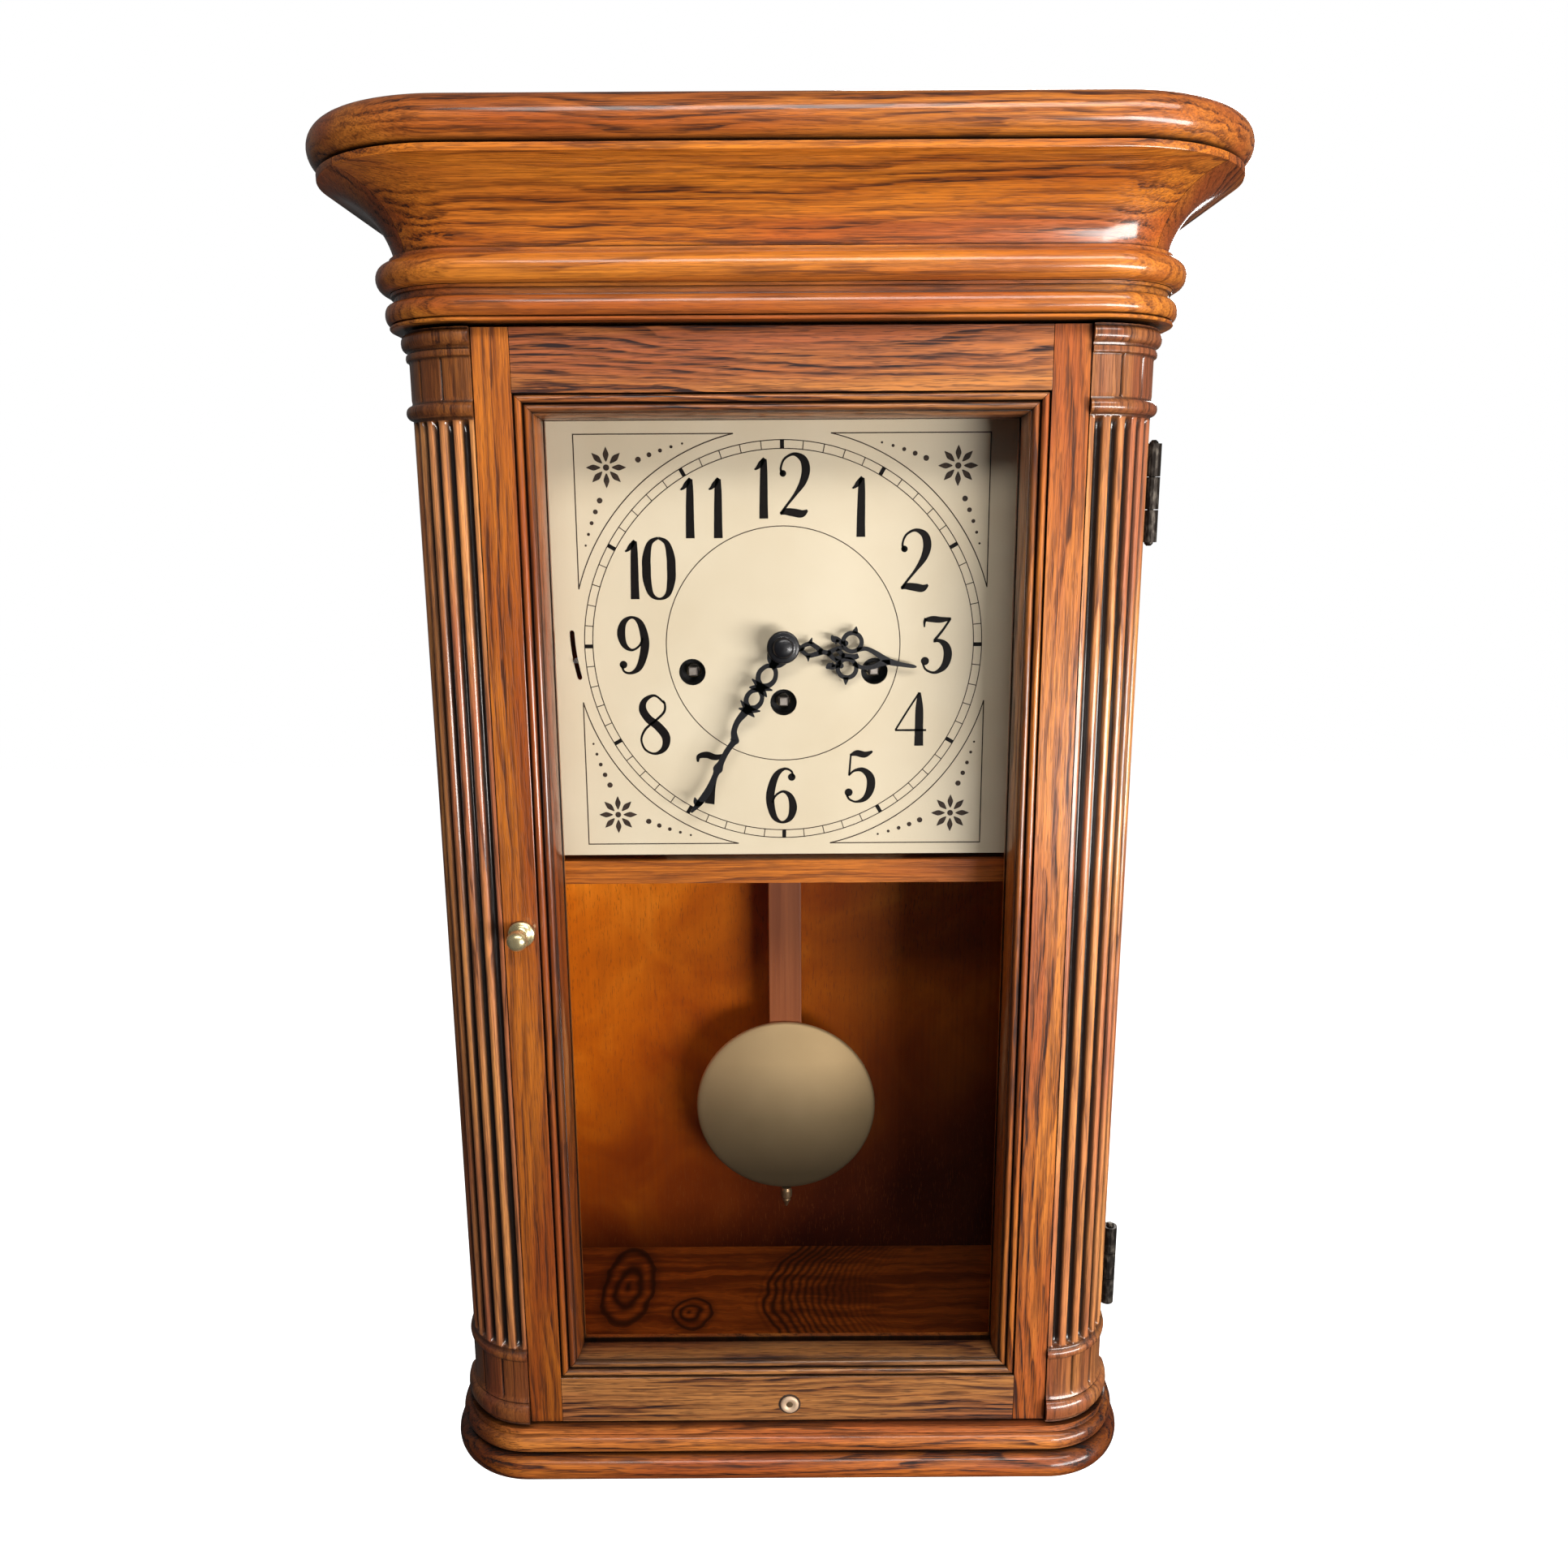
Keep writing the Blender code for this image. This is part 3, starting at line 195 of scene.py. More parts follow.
def oak(name, axis, shift, tint=(1.0, 1.0, 1.0), spacing=5.5, contrast=1.0, gloss=0.4):
    """Stained and lacquered open-pored oak, solid through the wood, with painted shade in its creases and
    grooves.

    shift places the board in its log: the heart of the tree is at the origin of the
    grain space, so a large first or second value gives straighter growth rings.
    """
    material, tree, shader = new_material(
        name, Coat_Weight=gloss, Coat_Roughness=0.13, Coat_IOR=1.5, Specular_IOR_Level=0.3
    )
    place = grain_space(tree, axis, shift)
    wandered = place
    for scale, detail, reach in (((0.016, 0.016, 0.006), 3.0, 26.0), ((0.14, 0.14, 0.006), 2.0, 9.0)):
        wandered = vector_maths(tree, "ADD", wandered, sway(tree, place, scale, detail, reach))
    rings = node(
        tree, "TexWave", {"Vector": wandered, "Scale": WAVE_PERIOD / spacing},
        wave_type="RINGS", rings_direction="Z", wave_profile="SAW",
    ).outputs[1]
    early = ramp(tree, rings, [(0.0, 1.0), (0.18, 0.9), (0.42, 0.3), (0.7, 0.0), (0.94, 0.15), (1.0, 1.0)])
    strength_noise = noise(tree, place, (0.11, 0.11, 0.009), 2.0)
    strength = ramp(tree, strength_noise, [(0.38, 0.12), (0.62, 1.0)])
    band = maths(tree, "MULTIPLY", early, strength)
    pore_noise = noise(tree, place, (1.5, 1.5, 0.06), 2.0)
    pores = maths(tree, "MULTIPLY", ramp(tree, pore_noise, [(0.45, 0.0), (0.56, 1.0)]),
                  maths(tree, "POWER", band, 0.7), clamp=True)
    fine_noise = noise(tree, place, (2.6, 2.6, 0.12), 1.0)
    marks = maths(tree, "MAXIMUM", pores, ramp(tree, fine_noise, [(0.52, 0.0), (0.66, 0.5)]))
    fibre = noise(tree, place, (1.3, 1.3, 0.016), 4.0)
    patch = noise(tree, place, (0.045, 0.045, 0.006), 2.0)
    bright = tinted(OAK_LIGHT, (tint[0] * 1.12, tint[1] * 1.2, tint[2]))
    dull = tinted(OAK_LIGHT, (tint[0] * 0.76, tint[1] * 0.6, tint[2] * 0.7))
    light = mix(tree, ramp(tree, patch, [(0.4, 0.0), (0.6, 1.0)]), bright, dull)
    in_band = maths(tree, "MULTIPLY", band, 0.8 * contrast, clamp=True)
    ground = mix(tree, in_band, light, tinted(OAK_MIDDLE, tint))
    broken = noise(tree, place, (0.8, 0.8, 0.03), 3.0)
    grain_line = maths(tree, "MULTIPLY", band, ramp(tree, broken, [(0.35, 0.1), (0.6, 1.0)]))
    in_line = maths(tree, "MULTIPLY", grain_line, 0.7 * contrast, clamp=True)
    ground = mix(tree, in_line, ground, tinted(OAK_DARK, tint))
    ground = mix(tree, ramp(tree, fibre, [(0.42, 0.0), (0.72, 0.65)]), ground, tinted(OAK_DARK, tint))
    in_pore = maths(tree, "MULTIPLY", marks, 0.8 * contrast, clamp=True)
    stained = mix(tree, in_pore, ground, tinted(OAK_PORE, tint))
    # Painted shade: ambient occlusion darkens the colour in creases and hollows, standing in for glaze and
    # the shade there.
    crevice = node(tree, "AmbientOcclusion", {"Distance": 6.0 * MM}, samples=6).outputs["AO"]
    glaze_and_shade = ramp(tree, crevice, [(0.3, 0.06), (0.82, 1.0)])
    colour = mix(tree, 1.0, stained, glaze_and_shade, "MULTIPLY")
    # Darker stain on the turned drums and on the boards' end grain, together with painted shade at the
    # boards' ends and on the lower door, read from the mesh.
    stain_and_shade = node(tree, "Attribute", attribute_name=STAIN_AND_SHADE_LAYER).outputs["Fac"]
    colour = mix(tree, stain_and_shade, colour, mix(tree, 1.0, colour, (0.30, 0.23, 0.17), "MULTIPLY"))
    # Glaze with painted shade in the grooves of the door mouldings and columns, read from the mesh.
    grooves_glazed_and_shaded = node(tree, "Attribute", attribute_name=GLAZE_AND_SHADE_LAYER).outputs["Fac"]
    colour = mix(tree, grooves_glazed_and_shaded, colour, GLAZE_AND_SHADE_COLOUR)
    height = maths(tree, "SUBTRACT", maths(tree, "MULTIPLY", fibre, 0.35), marks)
    wire(tree, shader, Base_Color=colour,
         Roughness=ramp(tree, marks, [(0.0, 0.38), (1.0, 0.65)]),
         Normal=bump(tree, height, 0.4, 0.35))
    return material


def birch_ply():
    """Smooth stained birch with soft clouds and short fine flecks, with painted light towards the upper left
    and painted shade towards the bottom and right.
    """
    material, tree, shader = new_material(
        "scene_birch_ply", Coat_Weight=0.08, Coat_Roughness=0.3, Specular_IOR_Level=0.12
    )
    place = grain_space(tree, "Z", (140.0, 0.0, 90.0))
    cloud = noise(tree, place, (0.014, 0.014, 0.011), 4.0, 1.2)
    streak = noise(tree, place, (0.5, 0.5, 0.012), 3.0)
    fleck = ramp(tree, noise(tree, place, (2.2, 2.2, 0.22), 1.0), [(0.62, 0.0), (0.7, 0.5)])
    split = node(tree, "SeparateXYZ", {0: node(tree, "TexCoord").outputs["Object"]})
    # Painted light and shade: brighter up and to the left, darker down and to the right.
    slope = maths(tree, "SUBTRACT", maths(tree, "MULTIPLY", split.outputs[2], 2.2), split.outputs[0])
    wear_and_painted_light = ramp(tree, slope, [(0.1, (0.12, 0.06, 0.02)), (0.3, (0.46, 0.33, 0.15)), (0.45, (1.05, 0.95, 0.6)),
                              (0.7, (1.8, 1.9, 2.0))])
    browns = [(0.3, (0.30, 0.052, 0.001)), (0.52, (0.47, 0.11, 0.003)), (0.72, (0.66, 0.20, 0.012))]
    ground = ramp(tree, cloud, browns)
    ground = mix(tree, ramp(tree, streak, [(0.4, 0.0), (0.75, 0.25)]), ground, (0.22, 0.046, 0.002))
    ground = mix(tree, 1.0, ground, wear_and_painted_light, "MULTIPLY")
    wire(tree, shader, Base_Color=mix(tree, fleck, ground, (0.16, 0.04, 0.008)),
         Roughness=ramp(tree, streak, [(0.3, 0.38), (0.8, 0.5)]), Normal=bump(tree, streak, 0.15, 0.2))
    return material


def pine_figure(tree, place):
    """Growth rings of a board with an arch and two knots: their phase, and how plainly they show."""
    split = node(tree, "SeparateXYZ", {0: place})
    across = maths(tree, "SUBTRACT", split.outputs[1], ARCH_TIP[1])
    bend = maths(tree, "MULTIPLY", maths(tree, "MULTIPLY", across, across), ARCH_BEND)
    along = maths(tree, "SUBTRACT", maths(tree, "SUBTRACT", split.outputs[0], ARCH_TIP[0]), bend)
    crowding = maths(tree, "MULTIPLY_ADD", along, ARCH_CROWDING, 1 / ARCH_SPACING)
    rings = maths(tree, "MULTIPLY", along, crowding)
    fading = [(0.0, 0.0), (0.05, 1.0), (0.4, 0.7), (0.75, 0.0)]
    plainly = ramp(tree, maths(tree, "MULTIPLY", along, 0.01), fading)
    for knot_x, knot_y, stretch, spacing in PINE_KNOTS:
        flat = mapped(tree, place, (1.0, 1 / stretch, 0.0))
        away = vector_maths(tree, "DISTANCE", flat, (knot_x, knot_y / stretch, 0.0))
        near = ramp(tree, maths(tree, "DIVIDE", away, 3 * spacing), [(0.72, 1.0), (0.95, 0.0)])
        phase = maths(tree, "MULTIPLY_ADD", away, 1 / spacing, 0.25)
        rings = node(tree, "Mix", {0: near, 2: rings, 3: phase}, data_type="FLOAT").outputs[0]
        plainly = maths(tree, "MAXIMUM", plainly, near)
    return rings, plainly


def knotty_pine():
    """Dark stained softwood with an arched figure and two knots on its upper face."""
    material, tree, shader = new_material(
        "scene_knotty_pine", Coat_Weight=0.02, Coat_Roughness=0.3, Specular_IOR_Level=0.08
    )
    place = grain_space(tree)
    place = vector_maths(tree, "ADD", place, sway(tree, place, (0.04, 0.05, 0.05), 2.0, 9.0))
    rings, plainly = pine_figure(tree, place)
    wave = maths(tree, "SINE", maths(tree, "MULTIPLY", rings, TAU))
    line = maths(tree, "MULTIPLY", maths(tree, "MULTIPLY_ADD", wave, 0.5, 0.5), plainly)
    streak = noise(tree, place, (0.012, 0.16, 0.16), 2.0)
    fibre = noise(tree, place, (0.03, 1.4, 1.4), 3.0)
    ground = ramp(tree, streak, [(0.38, (0.33, 0.068, 0.006)), (0.6, (0.15, 0.026, 0.002))])
    ground = mix(tree, maths(tree, "MULTIPLY", line, 0.95), ground, (0.022, 0.004, 0.001))
    colour = mix(tree, ramp(tree, fibre, [(0.4, 0.0), (0.7, 0.5)]), ground, (0.04, 0.012, 0.003))
    wire(tree, shader, Base_Color=colour,
         Roughness=ramp(tree, fibre, [(0.3, 0.36), (0.8, 0.5)]), Normal=bump(tree, line, 0.2, 0.2))
    return material


def plain_wood(name, light, dark, axis, roughness):
    """Unfigured wood with fine straight fibres."""
    material, tree, shader = new_material(name)
    place = grain_space(tree, axis)
    fibre = noise(tree, place, (1.3, 1.3, 0.02), 4.0)
    band = noise(tree, place, (0.2, 0.2, 0.006), 2.0)
    ground = mix(tree, ramp(tree, band, [(0.35, 0.0), (0.65, 1.0)]), light, dark)
    wire(tree, shader, Base_Color=mix(tree, ramp(tree, fibre, [(0.45, 0.0), (0.75, 0.6)]), ground, dark),
         Roughness=ramp(tree, fibre, [(0.3, roughness), (0.8, roughness + 0.12)]),
         Normal=bump(tree, fibre, 0.2, 0.2))
    return material


def dial_ivory():
    """Ivory enamel with a faint unevenness."""
    material, tree, shader = new_material("scene_dial_ivory", Coat_Weight=0.15, Coat_Roughness=0.35)
    place = grain_space(tree)
    cloud = noise(tree, place, 0.02, 3.0)
    speck = noise(tree, place, 2.5, 2.0)
    ground = ramp(tree, cloud, [(0.3, (0.76, 0.65, 0.46)), (0.7, (0.83, 0.73, 0.54))])
    colour = mix(tree, ramp(tree, speck, [(0.5, 0.0), (0.8, 0.12)]), ground, (0.6, 0.48, 0.3))
    wire(tree, shader, Base_Color=colour,
         Roughness=ramp(tree, speck, [(0.3, 0.42), (0.7, 0.5)]), Normal=bump(tree, speck, 0.05, 0.05))
    return material


def ink(name, colour):
    """Printing ink with slightly uneven cover."""
    material, tree, shader = new_material(name, Specular_IOR_Level=0.15)
    place = grain_space(tree)
    cover = noise(tree, place, 1.2, 2.0)
    wire(tree, shader, Base_Color=ramp(tree, cover, [(0.3, colour), (0.75, tinted(colour, (2.2, 2.0, 1.8)))]),
         Roughness=ramp(tree, cover, [(0.3, 0.45), (0.7, 0.6)]))
    return material


def metal(name, colour, roughness, metallic=1.0, tarnish=0.35, coat=0.0):
    """Metal with soft tarnish clouds and fine scratches."""
    material, tree, shader = new_material(name, Metallic=metallic, Coat_Weight=coat, Coat_Roughness=0.08)
    place = grain_space(tree)
    cloud = noise(tree, place, 0.25, 3.0)
    scratch = noise(tree, place, (4.0, 4.0, 0.7), 2.0)
    dull = tinted(colour, (1.0 - tarnish, 1.0 - tarnish * 1.15, 1.0 - tarnish * 1.3))
    wire(tree, shader, Base_Color=mix(tree, ramp(tree, cloud, [(0.4, 0.0), (0.75, 1.0)]), colour, dull),
         Roughness=ramp(tree, scratch, [(0.3, roughness), (0.75, roughness + 0.1)]),
         Normal=bump(tree, scratch, 0.04, 0.05))
    return material


def antique_bronze():
    """Dark bronze plating that is worn grey in scattered blotches and streaks."""
    material, tree, shader = new_material("scene_antique_bronze", Metallic=0.85)
    place = grain_space(tree)
    blotch = noise(tree, place, (0.45, 0.45, 0.2), 4.0)
    streak = noise(tree, place, (2.5, 2.5, 0.3), 2.0)
    wear_and_painted_light = maths(tree, "MULTIPLY", ramp(tree, blotch, [(0.48, 0.0), (0.68, 1.0)]), streak)
    wire(tree, shader, Base_Color=mix(tree, wear_and_painted_light, (0.030, 0.024, 0.020), (0.22, 0.19, 0.155)),
         Roughness=ramp(tree, blotch, [(0.3, 0.38), (0.7, 0.55)]), Normal=bump(tree, blotch, 0.2, 0.15))
    return material


def satin_bob():
    """Satin brass with a very fine turned finish about the bob's centre, and painted shade darkening it
    towards the bottom.
    """
    material, tree, shader = new_material("scene_satin_bob", Metallic=0.8)
    place = grain_space(tree, "Z", (0.0, 0.0, -BOB_CENTRE[1]))
    spread = mapped(tree, place, (1.0, 0.0, 1.0))
    radius = vector_maths(tree, "LENGTH", spread, (0.0, 0.0, 0.0))
    along = node(tree, "CombineXYZ", {0: radius}).outputs[0]
    turned_lines = noise(tree, along, (3.2, 1.0, 1.0), 2.0)
    cloud = noise(tree, place, 0.03, 3.0)
    ground = ramp(tree, cloud, [(0.3, (0.54, 0.39, 0.205)), (0.7, (0.60, 0.44, 0.24))])
    # Painted shade: the colour darkens from the top of the bob to its bottom.
    height = node(tree, "SeparateXYZ", {0: place}).outputs[2]
    upward = maths(tree, "MULTIPLY", maths(tree, "ADD", height, 40.0), 1 / 80.0)
    painted_shade_below = ramp(tree, upward, [(0.0, 0.22), (0.45, 0.55), (0.85, 1.0)])
    wire(tree, shader, Base_Color=mix(tree, 1.0, ground, painted_shade_below, "MULTIPLY"),
         Roughness=ramp(tree, turned_lines, [(0.3, 0.62), (0.7, 0.68)]),
         Normal=bump(tree, turned_lines, 0.04, 0.05))
    return material


def clear_glass():
    """Thin clear glass: nearly see-through, with a soft sheen and faint ripples."""
    material, tree, shader = new_material(
        "scene_glass", Alpha=0.05, Roughness=0.03, Specular_IOR_Level=0.25,
        Base_Color=(0.006, 0.008, 0.007, 1.0)
    )
    place = grain_space(tree)
    ripple = noise(tree, place, 0.02, 1.0)
    wire(tree, shader, Normal=bump(tree, ripple, 0.05, 0.1))
    return material


# ---------------------------------------------------------------- mesh helpers

def metres(point):
    """World position in metres of a point given in the design's millimetres."""
    return Vector((point[0] * MM, point[1] * MM + FACE_Y, point[2] * MM))


def add_piece(name, solid, material, body, replaced=(), sharp_deg=35.0):
    """Link a mesh built in design millimetres, with its body, slot and the nodes it stands for."""
    for vert in solid.verts:
        vert.co = metres(vert.co)
    bmesh.ops.recalc_face_normals(solid, faces=solid.faces)
    mesh = bpy.data.meshes.new(name)
    solid.to_mesh(mesh)
    solid.free()
    mesh.materials.append(material)
    mesh.shade_smooth()
    mesh.set_sharp_from_angle(angle=math.radians(sharp_deg))
    piece = bpy.data.objects.new(name, mesh)
    bpy.context.scene.collection.objects.link(piece)
    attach(piece, body)
    if replaced:
        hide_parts(*replaced)
    return piece


def add_look(node_name, solid, material, body, sharp_deg=35.0):
    """The finer mesh that is shown in place of a CAD node."""
    return add_piece(node_name + "_look", solid, material, body, (node_name,), sharp_deg)


def soften(piece, width_mm, segments=2, angle_deg=50.0):
    """Round a piece's sharp edges with a small bevel."""
    bevel = piece.modifiers.new("edge_bevel", "BEVEL")
    bevel.width = width_mm * MM
    bevel.segments = segments
    bevel.limit_method = "ANGLE"
    bevel.angle_limit = math.radians(angle_deg)
    bevel.harden_normals = True
    return piece


def add_rings(solid, rings, closed=False, loop=True):
    """Skin rings of equal length into a mesh: capped at both ends, or closed on itself."""
    loops = []
    for ring in rings:
        loops.append([solid.verts.new(point) for point in ring])
    count = len(loops[0])
    pairs = list(zip(loops, loops[1:]))
    if closed:
        pairs.append((loops[-1], loops[0]))
    for lower, upper in pairs:
        for i in range(count if loop else count - 1):
            j = (i + 1) % count
            solid.faces.new((lower[i], lower[j], upper[j], upper[i]))
    if not closed:
        solid.faces.new(list(reversed(loops[0])))
        solid.faces.new(loops[-1])


def ring_solid(rings, closed=False):
    """A new mesh skinned through rings."""
    solid = bmesh.new()
    add_rings(solid, rings, closed)
    return solid


def circle(centre, radius, segments):
    """Points of a circle about (x, z)."""
    points = []
    for i in range(segments):
        angle = TAU * i / segments
        points.append((centre[0] + radius * math.cos(angle), centre[1] + radius * math.sin(angle)))
    return points


def turned(centre, profile, segments=64, closed=False):
    """A turned shape about a line along Y through (x, z); the profile lists (radius, y)."""
    rings = [[(x, y, z) for x, z in circle(centre, radius, segments)] for radius, y in profile]
    return ring_solid(rings, closed)


def half_round(radius, middle_z, half_height, depth, segments=14):
    """Levels (radius, z) of a rounded edge that bulges out to the given radius."""
    levels = []
    for i in range(segments + 1):
        angle = -math.pi / 2 + math.pi * i / segments
        bulge = depth * (1 - math.cos(angle))
        levels.append((radius - bulge, middle_z + half_height * math.sin(angle)))
    return levels


def catmull_rom(a, b, c, d, t):
    """One number of a Catmull-Rom curve, a share t of the way from b to c."""
    bend = (2 * a - 5 * b + 4 * c - d) * t * t
    return 0.5 * (2 * b + (c - a) * t + bend + (3 * b - a - 3 * c + d) * t ** 3)


def smooth_path(points, per_span=8):
    """Points and widths of a smooth Catmull-Rom path through rows (x, z, width)."""
    rows = [points[0]] + list(points) + [points[-1]]
    path = []
    for i in range(1, len(rows) - 2):
        for step in range(per_span):
            t = step / per_span
            spans = zip(rows[i - 1], rows[i], rows[i + 1], rows[i + 2])
            path.append(tuple(catmull_rom(a, b, c, d, t) for a, b, c, d in spans))
    path.append(tuple(points[-1]))
    return path


def add_ribbon(solid, path, y_span):
    """A flat closed stroke along rows (x, z, width), as thick as the y span."""
    left, right = [], []
    for i, (x, z, width) in enumerate(path):
        before = path[max(i - 1, 0)]
        after = path[min(i + 1, len(path) - 1)]
        dx, dz = after[0] - before[0], after[1] - before[1]
        length = math.hypot(dx, dz) or 1.0
        half = max(width, 0.05) / 2
        left.append((x - dz / length * half, z + dx / length * half))
        right.append((x + dz / length * half, z - dx / length * half))
    rings = []
    for (xa, za), (xb, zb) in zip(left, right):
        rings.append([(xa, y_span[0], za), (xb, y_span[0], zb), (xb, y_span[1], zb), (xa, y_span[1], za)])
    add_rings(solid, rings)


def add_stroke(solid, points, y_span, per_span=8):
    """A smooth stroke through rows (x, z, width)."""
    add_ribbon(solid, smooth_path(points, per_span), y_span)


def bolder(rows, factor):
    """The same stroke with every width multiplied by a factor."""
    return [(along, across, width * factor) for along, across, width in rows]


def add_disc(solid, centre, radius, y_span, segments=20):
    """A flat round dot."""
    outline = circle(centre, radius, segments)
    add_rings(solid, [[(x, y, z) for x, z in outline] for y in y_span])


def add_band(solid, centre, radius, width, y_span, first_deg=0.0, last_deg=360.0, segments=96):
    """A flat ring, or an arc of one, of the given width about its middle radius."""
    whole = abs(last_deg - first_deg) >= 360.0
    count = segments if whole else segments + 1
    rings = []
    for i in range(count):
        angle = math.radians(first_deg + (last_deg - first_deg) * i / segments)
        ring = []
        for reach, y in ((-1, y_span[0]), (1, y_span[0]), (1, y_span[1]), (-1, y_span[1])):
            far = radius + reach * width / 2
            ring.append((centre[0] + far * math.cos(angle), y, centre[1] + far * math.sin(angle)))
        rings.append(ring)
    add_rings(solid, rings, closed=whole)


def box_mesh(x_span, y_span, z_span):
    """A rectangular block."""
    corners = [(x_span[0], y_span[0]), (x_span[1], y_span[0]), (x_span[1], y_span[1]), (x_span[0], y_span[1])]
    return ring_solid([[(x, y, z) for x, y in corners] for z in z_span])


# ---------------------------------------------------------------- case

def plan_outline(radius):
    """The rounded plan of the case at one corner radius, seen from above."""
    points = []
    for centre_x, start in ((-CORNER_X, math.pi), (CORNER_X, 1.5 * math.pi)):
        for i in range(CORNER_SEGMENTS + 1):
            angle = start + 0.5 * math.pi * i / CORNER_SEGMENTS
            points.append((centre_x + radius * math.cos(angle), CORNER_Y + radius * math.sin(angle)))
    points.append((CORNER_X + radius, CASE_BACK_Y))
    points.append((-CORNER_X - radius, CASE_BACK_Y))
    return points


END_STAIN_AND_SHADE_GROWTH = 1.6


def moulded_board(node_name, levels, material, end_stain_and_shade=0.0):
    """A full-width board whose front and side edges follow the levels (radius, z).

    end_stain_and_shade is how much darker the board is round the corners: darker stain where end grain shows,
    with painted shade at the board's ends.
    """
    board = ring_solid([[(x, y, z) for x, y in plan_outline(radius)] for radius, z in levels])
    layer = board.verts.layers.float.new(STAIN_AND_SHADE_LAYER)
    # Darker round the corners: stain on the end grain with painted shade.
    for vert in board.verts:
        beyond = (abs(vert.co.x) - CORNER_X) / CORNER_Y
        vert[layer] = end_stain_and_shade * min(1.0, max(0.0, END_STAIN_AND_SHADE_GROWTH * beyond))
    add_look(node_name, board, material, "case")


def make_base(mats):
    """Two stacked base boards: a rounded one below and a beaded one above."""
    moulded_board("base_lower_board", half_round(42.6, 6.75, 6.75, 6.75), mats["oak_base"], 0.95)
    upper = [(36.0, 13.8), (36.0, 14.6)]
    upper += half_round(39.6, 19.4, 4.6, 3.6)
    upper += [(36.4, 24.2), (36.2, 24.8), (36.2, 27.3)]
    moulded_board("base_upper_board", upper, mats["oak_base_upper"], 0.95)


COVE_FOOT_Z = 575.5
COVE_HEAD_Z = 603.8
COVE_TOP_Z = 606.7
COVE_INNER_RADIUS = 20.0
HOLLOW_RADIUS = 36.2
HOLLOW_CENTRE = (71.4, 568.4)
MITRE_GAP = 0.1


def cove_section():
    """Levels (radius, z) of a cove moulding: its inner face, then the hollow outer face."""
    section = [(COVE_INNER_RADIUS, COVE_TOP_Z), (COVE_INNER_RADIUS, COVE_FOOT_Z)]
    steps = 20
    for i in range(steps + 1):
        z = COVE_FOOT_Z + (COVE_HEAD_Z - COVE_FOOT_Z) * i / steps
        hollow = math.sqrt(HOLLOW_RADIUS ** 2 - (z - HOLLOW_CENTRE[1]) ** 2)
        section.append((HOLLOW_CENTRE[0] - hollow, z))
    section += [(64.4, 603.9), (64.6, 604.3), (64.6, COVE_TOP_Z)]
    return section


def cove_station(side, angle, shift=(0.0, 0.0)):
    """The cove's section across its run, at an angle round one corner, moved by shift."""
    ring = []
    for radius, z in cove_section():
        x = side * (CORNER_X + radius * math.sin(angle)) + shift[0]
        y = CORNER_Y - radius * math.cos(angle) + shift[1]
        ring.append((x, y, z))
    return ring


def make_cove(mats):
    """Three cove mouldings, mitred half-way round each corner."""
    gap = MITRE_GAP
    steps = 14
    turn = [math.pi / 4 * i / steps for i in range(steps + 1)]
    front = []
    for angle in reversed(turn):
        front.append(cove_station(-1, angle, (gap, -gap) if angle == turn[-1] else (0.0, 0.0)))
    for angle in turn:
        front.append(cove_station(1, angle, (-gap, -gap) if angle == turn[-1] else (0.0, 0.0)))
    add_look("crown_cove_front", ring_solid(front), mats["oak_cove"], "case")
    for side, name in ((-1, "crown_cove_left"), (1, "crown_cove_right")):
        run = []
        for step in turn:
            shift = (side * gap, gap) if step == 0 else (0.0, 0.0)
            run.append(cove_station(side, math.pi / 4 + step, shift))
        run.append([(x, CASE_BACK_Y, z) for x, _, z in run[-1]])
        add_look(name, ring_solid(run), mats["oak_cove_side"], "case")


def make_crown(mats):
    """The boards above the door: case top, bead, cove and the rounded top board."""
    case_top = [(39.3, 547.4), (39.7, 547.9), (39.7, 548.5), (39.3, 548.9), (37.9, 549.0)]
    case_top += half_round(41.2, 553.3, 4.0, 2.4)
    case_top += [(37.2, 557.9), (37.2, 560.2), (38.4, 560.5), (38.6, 561.6)]
    moulded_board("case_top_board", case_top, mats["oak_bead"])
    bead = [(39.0, 561.8)]
    bead += half_round(44.2, 567.6, 5.6, 5.0)
    bead += [(38.6, 573.6), (38.2, 574.0), (38.2, 575.3)]
    moulded_board("crown_bead_board", bead, mats["oak_bead_upper"])
    make_cove(mats)
    moulded_board("crown_top_board", half_round(67.6, 616.0, 9.0, 9.0, 22), mats["oak_crown"])


# ---------------------------------------------------------------- door

MOULDING = 10.0
DOOR_THICKNESS = 20.0
DOOR_Z = (28.0, 546.0)
SIGHT_Z = (62.5, 510.0)
RAIL_GAP = 0.15
STILE_OUTER_X = 128.0
STILE_INNER_X = 112.4
SIGHT_X = STILE_INNER_X - MOULDING
DOOR_MIDDLE_Z = 287.0
# Painted shade on the lower door, heavier on the left where the light falls off.
FOOT_PAINTED_SHADE = {"left": 0.6, "right": 0.12}


def door_section():
    """Points (distance from the sight edge, depth) of the moulded edge, front to back."""
    section = [(MOULDING, 0.0), (9.9, 0.1), (9.85, 2.4)]
    for crest_u, crest_v in ((8.0, 0.5), (4.2, 1.7)):
        for i in range(11):
            angle = math.pi * i / 10
            section.append((crest_u + 1.75 * math.cos(angle), crest_v + 2.1 * (1 - math.sin(angle))))
    section += [(2.0, 3.6), (1.6, 4.4), (1.0, 6.2), (0.5, 8.4), (0.1, 11.0), (0.0, 14.0)]
    return section + [(5.0, 14.0), (5.0, DOOR_THICKNESS), (MOULDING, DOOR_THICKNESS)]


def groove_glaze_and_shade(depth):
    """How dark the moulding is made at a depth behind the door's face: glazed grooves with painted shade in
    them.
    """
    if depth >= DOOR_THICKNESS:
        return 0.0
    if depth > 4.0:
        return 0.33
    return 0.75 * min(1.0, max(0.0, depth - 1.2) / 1.4)


